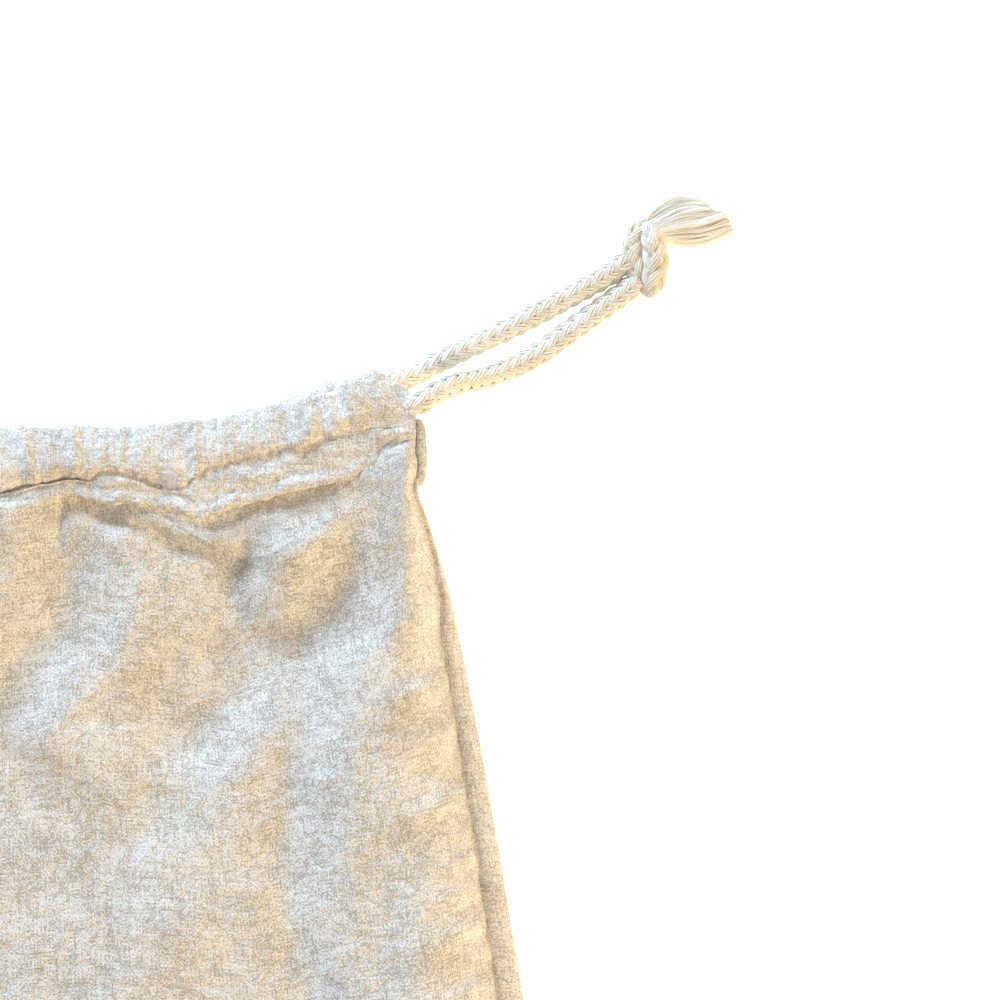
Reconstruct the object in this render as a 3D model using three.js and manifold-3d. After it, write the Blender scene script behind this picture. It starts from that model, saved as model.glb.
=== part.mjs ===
// A natural cotton drawstring laundry bag, empty and lying on its back.
// X runs across the bag, Y towards its mouth and Z up from the floor that it lies on.
// The origin is under the middle of the cloth.
import * as THREE from "three";
import { mergeVertices } from "three/addons/utils/BufferGeometryUtils.js";
import loadManifold from "manifold-3d";

const wasm = await loadManifold();
wasm.setup();

// Driving sizes, in millimetres
const CLOTH = 1.2;
const CLEARANCE = 0.3;
const CORD_DIAMETER = 5.2;
const CORD_SIDES = 8;
const CORD_ROOM = 0.7;
const MOUTH_GAP = 6.6;
const BAG_BOTTOM = -200;

// The mouth is drawn in: its top edge sags in the middle and rises to the two corners.
const MOUTH = { low: 187.2, flatHalf: 60, riseRun: 48.6, rise: 12.8, power: 1.4 };

// How each panel's channel ends: where it ends, where its corner rounds off and by how much, how
// much it leans at the end, how deep it is along the bag and at its end, how far the cord sinks
// below the rising corner, and how high its pleats stand. The back one is pressed flat.
const FRONT_MOUTH = {
  half: 118.5,
  corner: 107,
  drop: 9,
  lean: 0,
  depth: 19,
  endDepth: 10.5,
  slack: 4,
  pleats: 1.1,
};
const BACK_MOUTH = {
  half: 110,
  corner: 104,
  drop: 1.6,
  lean: 1.5,
  depth: 19,
  endDepth: 19,
  slack: 0,
  pleats: 0,
};
const CHANNEL_END = { from: 98, slackFrom: 82, slackTo: 108 };

// The channel hugs the cord through these turns around it, then lies flat as a band down to a
// thick turned edge. Each row of the band has how far down it is, its height, its share of the
// pleats and its extra thickness.
const LOOP_TURNS = [
  { degrees: -90, pleat: 0 },
  { degrees: -40, pleat: 0.2 },
  { degrees: 5, pleat: 0.6 },
  { degrees: 50, pleat: 0.9 },
  { degrees: 95, pleat: 1 },
  { degrees: 138, pleat: 1 },
];
const BAND = [
  { down: 0.1, lift: 1.2, pleat: 0.8, extra: 0 },
  { down: 0.36, lift: 0, pleat: 0.5, extra: 0 },
  { down: 0.68, lift: 0.1, pleat: 0.4, extra: 0 },
  { down: 0.88, lift: 0.9, pleat: 0.3, extra: 0.5 },
  { down: 1.03, lift: 0.3, pleat: 0.1, extra: 0.25 },
];
const HEM = { lift: 0.3, fall: 0.4, least: 2.2, underShare: 0.4 };
const GATHER = { pitch: 12, drift: 41, wander: 1.3, swell: 30, uneven: 0.45, smoothEnd: 14 };

// Half of the outline, mirrored for the left side: how far out the edge lies, how far in from
// it the seam runs on the front, and how high the seam stands.
const SIDE = [
  { y: 186, edge: 121.6, inset: 0.9, seamZ: 15.4 },
  { y: 179, edge: 121.3, inset: 0.9, seamZ: 14.6 },
  { y: 172.5, edge: 120, inset: 0.3, seamZ: 12.5 },
  { y: 162, edge: 123.6, inset: 0.9, seamZ: 9.6 },
  { y: 150, edge: 126.4, inset: 1.6, seamZ: 8 },
  { y: 123, edge: 131.8, inset: 3.7, seamZ: 7.4 },
  { y: 91, edge: 138, inset: 4.9, seamZ: 7.2 },
  { y: 65, edge: 142.2, inset: 5.5, seamZ: 7.2 },
  { y: 10, edge: 148, inset: 5.5, seamZ: 7 },
  { y: -70, edge: 150, inset: 4.6, seamZ: 6.4 },
  { y: -150, edge: 149.6, inset: 2.6, seamZ: 4.4 },
  { y: -200, edge: 148.6, inset: 1, seamZ: 2.2 },
];

// Height of the front cloth's middle above the floor, down the bag.
const CROWN = [
  { y: 182, z: 16.2 },
  { y: 120, z: 17.2 },
  { y: 40, z: 16.4 },
  { y: -60, z: 13.8 },
  { y: -140, z: 9.6 },
  { y: -185, z: 4.6 },
  { y: -200, z: 2.2 },
];
const EDGE_RUN = 30;

// Folds of the front cloth, each on a smooth line through three points: ridges stand up and
// troughs go down, with their half width and height.
const FOLDS = [
  { from: [57, 168], via: [52, 135], to: [6, 92], width: 9, height: 2.8 },
  { from: [46, 170], via: [42, 142], to: [4, 114], width: 7, height: -2.2 },
  { from: [79, 162], via: [79, 146], to: [70, 128], width: 4.5, height: -1.5 },
  { from: [108, 166], via: [84, 130], to: [30, 42], width: 8, height: -3.2 },
  { from: [103, 146], via: [80, 107], to: [38, 30], width: 9, height: 2.6 },
  { from: [99, 130], via: [93, 100], to: [99, 48], width: 6, height: -2 },
  { from: [112, 154], via: [104, 112], to: [109, 50], width: 10, height: 1.8 },
  { from: [126, 92], via: [120, 74], to: [112, 40], width: 7, height: 1.4 },
  { from: [4, 168], via: [2, 140], to: [-20, 96], width: 9, height: 2.4 },
  { from: [-17, 168], via: [-22, 130], to: [-48, 66], width: 8, height: -2.6 },
  { from: [-36, 168], via: [-42, 136], to: [-64, 60], width: 9, height: 2.6 },
  { from: [-62, 168], via: [-70, 130], to: [-92, 70], width: 8, height: -2.8 },
  { from: [-84, 164], via: [-92, 130], to: [-108, 60], width: 9, height: 2.4 },
  { from: [-106, 164], via: [-112, 138], to: [-124, 90], width: 7, height: -1.8 },
  { from: [60, 20], via: [22, -40], to: [-10, -120], width: 16, height: 2.2 },
  { from: [100, 10], via: [84, -60], to: [90, -150], width: 15, height: -1.8 },
  { from: [-46, 30], via: [-40, -40], to: [-62, -130], width: 16, height: -2 },
  { from: [-96, 20], via: [-88, -60], to: [-104, -150], width: 15, height: 1.8 },
];
const FOLD_STEPS = 14;
const FOLD_FADE = { channel: 14, edge: 18, bottom: 60, end: 0.22 };

// The back cloth rises to its channel over this run. Its lip is round for most of its width.
const BACK_RISE = 26;
const LIP = { from: 0.96, roundShare: 0.9 };

// How finely the cloth is cut into faces
const FRONT = { columns: 40, rows: 33, rowGrading: 1.35, channelColumns: 76 };
const BACK = { flatColumns: 12, lipColumns: 5, rows: 15, rowGrading: 1.9, channelColumns: 40 };
const CORD_STEPS = 78;
const WELD = 1e-3;

// Heights that follow from the sizes above
const CORD_RADIUS = CORD_DIAMETER / 2;
const LOOP_RADIUS = CORD_RADIUS + CORD_ROOM + CLOTH / 2;
const BACK_FLAT_Z = CLOTH / 2;
const BACK_CHANNEL_Z = BACK_FLAT_Z + 2 * LOOP_RADIUS;
const FRONT_CHANNEL_Z = BACK_CHANNEL_Z + CLOTH + MOUTH_GAP;
const FLOOR_Z = CORD_RADIUS + CLEARANCE;
const FRONT_CORD_Z = FRONT_CHANNEL_Z + LOOP_RADIUS;
const BACK_CORD_Z = BACK_CHANNEL_Z - LOOP_RADIUS;

// The cord's route: out of the knot, along the front channel, round the left end, back along
// the back channel and into the knot again.
const FRONT_END = [
  [167.4, 219.4, 4.6],
  [163.6, 216.2, 3.4],
  [158.6, 212.6, FLOOR_Z],
  [152.4, 208.2, FLOOR_Z],
  [146.2, 203.8, FLOOR_Z],
  [139.4, 200.2, 3.4],
  [133, 197.7, 7.4],
  [127.4, 194.9, 13.8],
  [123.6, 191.6, FRONT_CORD_Z - 1.5],
  [120.2, 190, FRONT_CORD_Z + 0.2],
];
const CHANNEL_STOPS = [0.99, 0.95, 0.91, 0.84, 0.74, 0.62, 0.45, 0.15];
const LEFT_TURN = [
  [-122, 190.2, FRONT_CORD_Z],
  [-130, 191.6, FRONT_CORD_Z - 1],
  [-134.4, 193.6, 13.4],
  [-133.6, 195.8, 8],
  [-127.6, 197.4, BACK_CORD_Z],
  [-118.4, 197.2, BACK_CORD_Z],
];
const BACK_END = [
  [117.6, 196.6, BACK_CORD_Z],
  [122, 200, BACK_CORD_Z - 0.6],
  [130, 204.4, FLOOR_Z],
  [138.2, 208.4, FLOOR_Z],
  [146.3, 212.6, FLOOR_Z],
  [154.4, 217, FLOOR_Z],
  [160.6, 220.4, 3.4],
  [165, 223.6, 4.6],
];

// The knot: two turns of cord side by side, around a core of the two ends that pass through them.
const KNOT = { x: 168.2, y: 223.4, z: 4.7, turn: 0.2, across: 6.1, high: 2.9, apart: 4.4, sides: 16 };
const KNOT_CORE = { along: 4.4, across: 6.7, high: 4.5, columns: 12, rows: 8 };
const KNOT_ROOM = [1, 1.04, 1.09];

// The frayed end: layers of yarns that fan out of a bound root beside the knot.
const FRAY = { x: 172.2, y: 229.9, z: 5.2, length: 15.4, layers: 4, across: 9 };
const FRAY_ROOT = { along: 2.6, across: 3.6, high: 3.4, columns: 10, rows: 7 };
const YARN = { radius: 0.42, sides: 3, steps: 3, lowest: 0.5 };
const FAN = {
  heading: 0.1,
  turn: 0.24,
  rootSpread: 2.4,
  rootHigh: 2,
  bulge: 1.6,
  midSpread: 2.2,
  tipSpread: 2.6,
  tipHigh: 4.2,
  shortSides: 1.6,
  uneven: 0.08,
};

const COTTON = { color: 0xe2d8c6, roughness: 0.95, metalness: 0 };
const CORD_COTTON = { color: 0xe4d9bd, roughness: 0.95, metalness: 0 };

// Small helpers
const mix = (a, b, share) => a + (b - a) * share;
const clamp01 = (value) => Math.min(1, Math.max(0, value));

function ease(value) {
  const share = clamp01(value);
  return share * share * (3 - 2 * share);
}

// A column's value at y, on a smooth curve through the rows of a table that runs down the bag.
function valueAt(table, column, y) {
  const last = table.length - 1;
  if (y >= table[0].y) return table[0][column];
  if (y <= table[last].y) return table[last][column];
  const below = table.findIndex((row) => row.y < y);
  const [a, b] = [table[below - 1], table[below]];
  const before = table[Math.max(0, below - 2)];
  const after = table[Math.min(last, below + 1)];
  const span = b.y - a.y;
  const slopeA = ((b[column] - before[column]) / (b.y - before.y)) * span;
  const slopeB = ((after[column] - a[column]) / (after.y - a.y)) * span;
  const t = (y - a.y) / span;
  const value = a[column] * (1 + 2 * t) * (1 - t) ** 2 + b[column] * t * t * (3 - 2 * t);
  return value + slopeA * t * (1 - t) ** 2 + slopeB * t * t * (t - 1);
}

// The top edge's line
function mouthY(mouth, x) {
  const out = Math.max(0, Math.abs(x) - MOUTH.flatHalf) / MOUTH.riseRun;
  const rounding = ease((Math.abs(x) - mouth.corner) / (mouth.half - mouth.corner));
  return MOUTH.low + MOUTH.rise * out ** MOUTH.power - mouth.drop * rounding;
}

// How far a place on the mouth line is along the channel's end, from 0 to 1
function endShare(mouth, x) {
  return ease((Math.abs(x) - CHANNEL_END.from) / (mouth.half - CHANNEL_END.from));
}

// A place at a distance out from the mouth line, along the direction that points out of the bag
function fromMouth(mouth, u, out) {
  const x = u * mouth.half;
  const inner = Math.min(Math.abs(x), mouth.corner);
  const slope = mouthY(mouth, inner) - mouthY(mouth, inner - 1);
  const angle = Math.sign(x) * Math.atan(slope) * mix(1, mouth.lean, endShare(mouth, x));
  return { x: x - Math.sin(angle) * out, y: mouthY(mouth, x) + Math.cos(angle) * out };
}

function channelDepth(mouth, u) {
  return mix(mouth.depth, mouth.endDepth, endShare(mouth, u * mouth.half));
}

function channelBase(mouth, u) {
  return fromMouth(mouth, u, -channelDepth(mouth, u));
}

// How far the cord's middle lies inside the top edge
function cordSetIn(mouth, u) {
  const x = Math.abs(u * mouth.half);
  const sunk = ease((x - CHANNEL_END.slackFrom) / (CHANNEL_END.slackTo - CHANNEL_END.slackFrom));
  const back = 1 - ease((x - CHANNEL_END.slackTo) / (mouth.half - CHANNEL_END.slackTo));
  return CLOTH / 2 + LOOP_RADIUS + mouth.slack * sunk * back;
}

// Height of the small pleats of a drawn channel, uneven along it and smooth at its ends
function gather(mouth, u) {
  const x = u * mouth.half;
  const wave = (pitch) => Math.sin((2 * Math.PI * x) / pitch);
  const depth = 1 - GATHER.uneven + GATHER.uneven * wave(GATHER.swell);
  const smooth = ease((mouth.half - Math.abs(x)) / GATHER.smoothEnd);
  const phase = (2 * Math.PI * x) / GATHER.pitch + GATHER.wander * wave(GATHER.drift);
  const pleat = (1 + Math.sin(phase)) / 2;
  return mouth.pleats * depth * smooth * pleat;
}

// The channel's section as the sheet runs on from the body: out under the cord, round it, and
// back over it to the turned edge. Each point has its distance out from the mouth line, its
// height above the body sheet, its share of the pleats and its extra thickness.
function channelSection(mouth, u) {
  const setIn = cordSetIn(mouth, u);
  const depth = channelDepth(mouth, u);
  const bandTop = Math.min(setIn + LOOP_RADIUS + HEM.fall, depth - HEM.least);
  const outAt = (down) => -mix(bandTop, depth, down);
  const section = [
    { out: -depth, up: 0, pleat: 0, extra: 0 },
    { out: outAt(HEM.underShare), up: 0, pleat: 0, extra: 0 },
  ];
  for (const { degrees, pleat } of LOOP_TURNS) {
    const angle = (degrees * Math.PI) / 180;
    const reach = Math.cos(angle) > 0 ? setIn - CLOTH / 2 : LOOP_RADIUS;
    const up = LOOP_RADIUS + LOOP_RADIUS * Math.sin(angle);
    section.push({ out: -setIn + reach * Math.cos(angle), up, pleat, extra: 0 });
  }
  for (const { down, lift, pleat, extra } of BAND) {
    section.push({ out: outAt(down), up: CLOTH + HEM.lift + lift, pleat, extra });
  }
  return section;
}

// The left-hand normal of a section at one of its points, as (out, up)
function sectionNormal(section, i) {
  const before = section[Math.max(0, i - 1)];
  const after = section[Math.min(section.length - 1, i + 1)];
  const length = Math.hypot(after.out - before.out, after.up - before.up);
  return { out: -(after.up - before.up) / length, up: (after.out - before.out) / length };
}

// Rows of the channel: upwards with sign 1, and turned over, with its hem below, with sign -1
function channelRows(mouth, baseZ, sign, columns) {
  const rows = channelSection(mouth, 0).map(() => ({ cordSide: [], clothSide: [] }));
  for (let column = 0; column <= columns; column += 1) {
    const u = mix(-1, 1, column / columns);
    const section = channelSection(mouth, u);
    section.forEach((point, i) => {
      const normal = sectionNormal(section, i);
      const puff = point.pleat * gather(mouth, u);
      const place = (offset) => {
        const flat = fromMouth(mouth, u, point.out + normal.out * offset);
        const z = baseZ + sign * (point.up + normal.up * offset);
        return { u, point: new THREE.Vector3(flat.x, flat.y, z) };
      };
      rows[i].cordSide.push(place(CLOTH / 2 - puff));
      rows[i].clothSide.push(place(-CLOTH / 2 - point.extra - puff));
    });
  }
  return rows;
}

// Triangles between two rows that run the same way and may differ in their number of points.
function zip(a, b, flip) {
  const faces = [];
  const face = (p, q, r) => faces.push(flip ? [p, r, q] : [p, q, r]);
  let i = 0;
  let j = 0;
  while (i < a.length - 1 || j < b.length - 1) {
    const nextA = i < a.length - 1 ? a[i + 1].u : Infinity;
    const nextB = j < b.length - 1 ? b[j + 1].u : Infinity;
    if (nextA < nextB) {
      face(a[i].point, a[i + 1].point, b[j].point);
      i += 1;
    } else {
      face(a[i].point, b[j + 1].point, b[j].point);
      j += 1;
    }
  }
  return faces;
}

// A closed sheet from rows of points on its upper and lower side, from its bottom to its hem.
function closedSheet(rows) {
  const faces = [];
  const edge = (pick) => {
    const side = (layer) => rows.map((row, i) => ({ u: i, point: row[layer][pick(row[layer])].point }));
    return [side("lower"), side("upper")];
  };
  for (let i = 0; i + 1 < rows.length; i += 1) {
    faces.push(...zip(rows[i].upper, rows[i + 1].upper, false));
    faces.push(...zip(rows[i].lower, rows[i + 1].lower, true));
  }
  const last = rows[rows.length - 1];
  faces.push(...zip(rows[0].lower, rows[0].upper, false));
  faces.push(...zip(last.lower, last.upper, true));
  faces.push(...zip(...edge(() => 0), true));
  faces.push(...zip(...edge((layer) => layer.length - 1), false));
  const corners = faces.flat().flatMap((point) => point.toArray());
  const geometry = new THREE.BufferGeometry();
  geometry.setAttribute("position", new THREE.Float32BufferAttribute(corners, 3));
  return mergeVertices(geometry);
}

// The side: the back cloth's flat part ends, and its lip rolls up and over to the seam.
function sideLip(y, backZ, belowChannel) {
  const edge = valueAt(SIDE, "edge", y);
  const inset = valueAt(SIDE, "inset", y);
  const radius = (valueAt(SIDE, "seamZ", y) - backZ) / 2;
  const overTop = inset >= radius;
  const fullTurn = overTop ? Math.PI : Math.PI - Math.asin(1 - inset / radius);
  const turn = fullTurn * ease(belowChannel / FOLD_FADE.channel);
  const reach = radius * Math.sin(Math.min(turn, Math.PI / 2));
  return { flatHalf: edge - reach, radius, turn, run: overTop ? inset - radius : 0 };
}

// A point of the lip's middle surface, and its outward normal, at a share of the way along it
function lipPoint(lip, share) {
  const arc = Math.min(1, share / LIP.roundShare) * lip.turn;
  const run = Math.max(0, (share - LIP.roundShare) / (1 - LIP.roundShare)) * lip.run;
  return {
    x: lip.flatHalf + lip.radius * Math.sin(arc) - run,
    z: lip.radius * (1 - Math.cos(arc)),
    normalX: Math.sin(arc),
    normalZ: -Math.cos(arc),
  };
}

// The back cloth's rise from the floor to the channel
function backHeight(belowChannel) {
  return mix(BACK_CHANNEL_Z, BACK_FLAT_Z, ease(belowChannel / BACK_RISE));
}

// The front cloth's half width, just inside the seam
function frontHalf(y) {
  return valueAt(SIDE, "edge", y) - valueAt(SIDE, "inset", y) - CLOTH - CLEARANCE;
}

// Folds as chains of points on their parabolas, with the taper at both ends
function foldChain(fold) {
  const chain = [];
  for (let i = 0; i <= FOLD_STEPS; i += 1) {
    const t = i / FOLD_STEPS;
    const [first, middle, last] = [(1 - t) * (1 - 2 * t), 4 * t * (1 - t), t * (2 * t - 1)];
    const along = (axis) => first * fold.from[axis] + middle * fold.via[axis] + last * fold.to[axis];
    const taper = ease(Math.min(t, 1 - t) / FOLD_FADE.end);
    chain.push({ x: along(0), y: along(1), taper });
  }
  return chain;
}
const foldChains = FOLDS.map((fold) => ({ ...fold, chain: foldChain(fold) }));

// The height that one fold adds: a soft ridge or trough over its nearest stretch
function foldHeight(fold, x, y) {
  let nearest = Infinity;
  let taper = 0;
  for (let i = 0; i + 1 < fold.chain.length; i += 1) {
    const [a, b] = [fold.chain[i], fold.chain[i + 1]];
    const lengthSquared = (b.x - a.x) ** 2 + (b.y - a.y) ** 2;
    const share = clamp01(((x - a.x) * (b.x - a.x) + (y - a.y) * (b.y - a.y)) / lengthSquared);
    const distance = Math.hypot(x - mix(a.x, b.x, share), y - mix(a.y, b.y, share));
    if (distance < nearest) {
      nearest = distance;
      taper = mix(a.taper, b.taper, share);
    }
  }
  return fold.height * taper * Math.exp(-((nearest / fold.width) ** 2));
}

// Height of the front cloth's middle surface
function frontHeight(x, y, belowChannel) {
  const fromEdge = frontHalf(y) - Math.abs(x);
  const crown = valueAt(CROWN, "z", y);
  const seam = valueAt(SIDE, "seamZ", y);
  const round = Math.sin((Math.PI / 2) * clamp01(fromEdge / EDGE_RUN));
  const bowed = mix(seam, Math.max(crown, seam), round);
  const below = ease(belowChannel / FOLD_FADE.channel);
  const fade = below * ease(fromEdge / FOLD_FADE.edge) * ease((y - BAG_BOTTOM) / FOLD_FADE.bottom);
  const folds = foldChains.reduce((sum, fold) => sum + foldHeight(fold, x, y), 0);
  return mix(FRONT_CHANNEL_Z, bowed, below) + fade * folds;
}

// Front cloth
function frontPanel() {
  const rows = [];
  for (let i = 0; i < FRONT.rows; i += 1) {
    const down = (1 - i / FRONT.rows) ** FRONT.rowGrading;
    const row = { upper: [], lower: [] };
    for (let column = 0; column <= FRONT.columns; column += 1) {
      const u = mix(-1, 1, column / FRONT.columns);
      const top = channelBase(FRONT_MOUTH, u);
      const y = mix(top.y, BAG_BOTTOM, down);
      const belowChannel = top.y - y;
      const pull = 1 - ease(belowChannel / (2 * FOLD_FADE.channel));
      const x = u * frontHalf(y) + pull * (top.x - u * frontHalf(top.y));
      const z = frontHeight(x, y, belowChannel);
      row.upper.push({ u, point: new THREE.Vector3(x, y, z + CLOTH / 2) });
      row.lower.push({ u, point: new THREE.Vector3(x, y, z - CLOTH / 2) });
    }
    rows.push(row);
  }
  for (const row of channelRows(FRONT_MOUTH, FRONT_CHANNEL_Z, 1, FRONT.channelColumns)) {
    rows.push({ upper: row.cordSide, lower: row.clothSide });
  }
  return closedSheet(rows);
}

// Back cloth: one row of points on its upper and lower side, lip to lip
function backRow(down) {
  const row = { upper: [], lower: [] };
  const add = (u, lip, share, side) => {
    const top = channelBase(BACK_MOUTH, u);
    const y = mix(top.y, BAG_BOTTOM, down);
    const height = backHeight(top.y - y);
    const pull = 1 - ease((top.y - y) / (2 * FOLD_FADE.channel));
    const flatHalf = mix(lip.flatHalf, channelBase(BACK_MOUTH, 1).x, pull);
    const point = lipPoint({ ...lip, flatHalf }, share);
    const x = side === 0 ? (u * flatHalf) / LIP.from : side * point.x;
    const place = (offset) => {
      const z = height + point.z + offset * point.normalZ;
      return { u, point: new THREE.Vector3(x + offset * side * point.normalX, y, z) };
    };
    row.upper.push(place(-CLOTH / 2));
    row.lower.push(place(CLOTH / 2));
  };
  const top = channelBase(BACK_MOUTH, 1);
  const edgeY = mix(top.y, BAG_BOTTOM, down);
  const lip = sideLip(edgeY, backHeight(top.y - edgeY), top.y - edgeY);
  for (let i = BACK.lipColumns; i > 0; i -= 1) {
    add(-mix(LIP.from, 1, i / BACK.lipColumns), lip, i / BACK.lipColumns, -1);
  }
  for (let i = 0; i <= BACK.flatColumns; i += 1) {
    add(mix(-LIP.from, LIP.from, i / BACK.flatColumns), lip, 0, 0);
  }
  for (let i = 1; i <= BACK.lipColumns; i += 1) {
    add(mix(LIP.from, 1, i / BACK.lipColumns), lip, i / BACK.lipColumns, 1);
  }
  return row;
}

function backPanel() {
  const rows = [];
  for (let i = 0; i < BACK.rows; i += 1) {
    rows.push(backRow((1 - i / BACK.rows) ** BACK.rowGrading));
  }
  for (const row of channelRows(BACK_MOUTH, BACK_CHANNEL_Z, -1, BACK.channelColumns)) {
    rows.push({ upper: row.clothSide, lower: row.cordSide });
  }
  return closedSheet(rows);
}

// Solids for joining and cutting
function solidOf(geometry) {
  const bare = geometry.clone();
  bare.deleteAttribute("normal");
  bare.deleteAttribute("uv");
  const merged = mergeVertices(bare, WELD);
  const vertProperties = new Float32Array(merged.attributes.position.array);
  const triVerts = new Uint32Array(merged.index.array);
  return new wasm.Manifold(new wasm.Mesh({ numProp: 3, vertProperties, triVerts }));
}

function geometryOf(solid) {
  const mesh = solid.getMesh();
  const geometry = new THREE.BufferGeometry();
  geometry.setAttribute("position", new THREE.Float32BufferAttribute(mesh.vertProperties, 3));
  geometry.setIndex(Array.from(mesh.triVerts));
  return geometry;
}

function channelStop(mouth, u, z) {
  const place = fromMouth(mouth, u, -cordSetIn(mouth, u));
  return [place.x, place.y, z];
}

function cordRoute() {
  const leftwards = [...CHANNEL_STOPS, ...CHANNEL_STOPS.map((u) => -u).reverse()];
  const rightwards = [...leftwards].reverse();
  const stops = [
    ...FRONT_END,
    ...leftwards.map((u) => channelStop(FRONT_MOUTH, u, FRONT_CORD_Z)),
    ...LEFT_TURN,
    ...rightwards.map((u) => channelStop(BACK_MOUTH, u, BACK_CORD_Z)),
    ...BACK_END,
  ];
  const points = stops.map((stop) => new THREE.Vector3(...stop));
  return new THREE.CatmullRomCurve3(points, false, "centripetal");
}

function cordSection() {
  const outline = [];
  for (let side = 0; side < CORD_SIDES; side += 1) {
    const angle = (2 * Math.PI * (side + 0.5)) / CORD_SIDES;
    outline.push(new THREE.Vector2(CORD_RADIUS * Math.cos(angle), CORD_RADIUS * Math.sin(angle)));
  }
  return new THREE.Shape(outline);
}

function drawstring() {
  const options = { steps: CORD_STEPS, extrudePath: cordRoute() };
  const tube = new THREE.ExtrudeGeometry(cordSection(), options);
  return geometryOf(solidOf(tube).subtract(knotRoom()));
}

function knotGeometry() {
  const place = (geometry, along) => {
    geometry.rotateY(Math.PI / 2);
    geometry.translate(along, 0, 0);
    return solidOf(geometry);
  };
  const wrap = () => {
    const ring = new THREE.TorusGeometry(KNOT.across, CORD_RADIUS, CORD_SIDES, KNOT.sides);
    ring.rotateZ(Math.PI / 2);
    ring.scale(KNOT.high / KNOT.across, 1, 1);
    return ring;
  };
  const core = new THREE.SphereGeometry(1, KNOT_CORE.columns, KNOT_CORE.rows);
  core.scale(KNOT_CORE.along, KNOT_CORE.across, KNOT_CORE.high);
  const turns = place(wrap(), -KNOT.apart / 2).add(place(wrap(), KNOT.apart / 2));
  return geometryOf(turns.add(solidOf(core)));
}

function knotLump(scale) {
  const lump = knotGeometry();
  lump.scale(scale, scale, scale);
  lump.rotateZ(KNOT.turn);
  lump.translate(KNOT.x, KNOT.y, KNOT.z);
  return lump;
}

// The room that the knot takes, with a little clearance around it
function knotRoom() {
  const lumps = KNOT_ROOM.map((scale) => solidOf(knotLump(scale)));
  return lumps.reduce((sum, lump) => sum.add(lump));
}

// A yarn's line: side runs from 1 at the top of the fan to -1 at its bottom
function yarnCurve(layer, place) {
  const side = mix(1, -1, place / (FRAY.across - 1));
  const level = layer / (FRAY.layers - 1);
  const uneven = FAN.uneven * Math.sin(FRAY.across * layer + place ** 2);
  const heading = FAN.heading + FAN.turn * side;
  const length = FRAY.length * (1 - FAN.uneven + uneven) - FAN.shortSides * Math.abs(side);
  const floor = YARN.lowest + YARN.radius - FRAY.z;
  const start = new THREE.Vector3(0, FAN.rootSpread * side, mix(-FAN.rootHigh, FAN.rootHigh, level));
  const bulge = new THREE.Vector3(length / 2, FAN.bulge + FAN.midSpread * side, level / 2);
  const tip = new THREE.Vector3(
    length * Math.cos(heading),
    length * Math.sin(heading) + FAN.tipSpread * side,
    floor + FAN.tipHigh * level,
  );
  return new THREE.QuadraticBezierCurve3(start, start.clone().add(bulge), tip);
}

function yarn(layer, place) {
  const outline = [];
  for (let side = 0; side < YARN.sides; side += 1) {
    const angle = (2 * Math.PI * side) / YARN.sides;
    outline.push(new THREE.Vector2(YARN.radius * Math.cos(angle), YARN.radius * Math.sin(angle)));
  }
  const options = { steps: YARN.steps, extrudePath: yarnCurve(layer, place) };
  return new THREE.ExtrudeGeometry(new THREE.Shape(outline), options);
}

function frayedEnd() {
  const root = new THREE.SphereGeometry(1, FRAY_ROOT.columns, FRAY_ROOT.rows);
  root.scale(FRAY_ROOT.along, FRAY_ROOT.across, FRAY_ROOT.high);
  let solid = solidOf(root);
  for (let layer = 0; layer < FRAY.layers; layer += 1) {
    for (let place = 0; place < FRAY.across; place += 1) {
      solid = solid.add(solidOf(yarn(layer, place)));
    }
  }
  const placed = geometryOf(solid);
  placed.translate(FRAY.x, FRAY.y, FRAY.z);
  return geometryOf(solidOf(placed).subtract(knotRoom()));
}

function piece(name, geometry, look) {
  const mesh = new THREE.Mesh(geometry, new THREE.MeshStandardMaterial(look));
  mesh.name = name;
  return mesh;
}

const bag = new THREE.Group();
bag.add(piece("front_panel", frontPanel(), COTTON));
bag.add(piece("back_panel", backPanel(), COTTON));
bag.add(piece("drawstring", drawstring(), CORD_COTTON));
bag.add(piece("knot", knotLump(1), CORD_COTTON));
bag.add(piece("frayed_end", frayedEnd(), CORD_COTTON));

export default bag;
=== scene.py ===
"""A natural cotton drawstring laundry bag, empty and lying on its back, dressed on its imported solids.

X runs across the bag, Y towards its mouth and Z up from the floor. Shapes are worked out in
millimetres, and a mesh is scaled to metres when it is made.
"""

import math
from collections import namedtuple
from types import SimpleNamespace as Sizes

import bpy
import numpy as np
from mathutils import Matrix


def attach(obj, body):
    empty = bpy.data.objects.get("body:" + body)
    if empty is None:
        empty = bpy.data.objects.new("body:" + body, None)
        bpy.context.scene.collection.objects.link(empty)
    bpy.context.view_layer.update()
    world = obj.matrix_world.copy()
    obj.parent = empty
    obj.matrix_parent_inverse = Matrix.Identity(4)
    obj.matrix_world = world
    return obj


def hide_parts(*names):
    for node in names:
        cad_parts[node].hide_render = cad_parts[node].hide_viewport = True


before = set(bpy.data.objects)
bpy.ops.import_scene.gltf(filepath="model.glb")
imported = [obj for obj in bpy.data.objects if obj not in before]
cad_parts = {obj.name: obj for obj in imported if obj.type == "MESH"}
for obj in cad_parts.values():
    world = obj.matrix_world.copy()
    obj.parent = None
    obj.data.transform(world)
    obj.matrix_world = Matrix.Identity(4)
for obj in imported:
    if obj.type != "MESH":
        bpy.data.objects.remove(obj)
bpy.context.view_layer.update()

MM = 0.001
SEED = 11
# Texture coordinates count lengths of 100 mm
UV_SCALE = 0.01

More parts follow.
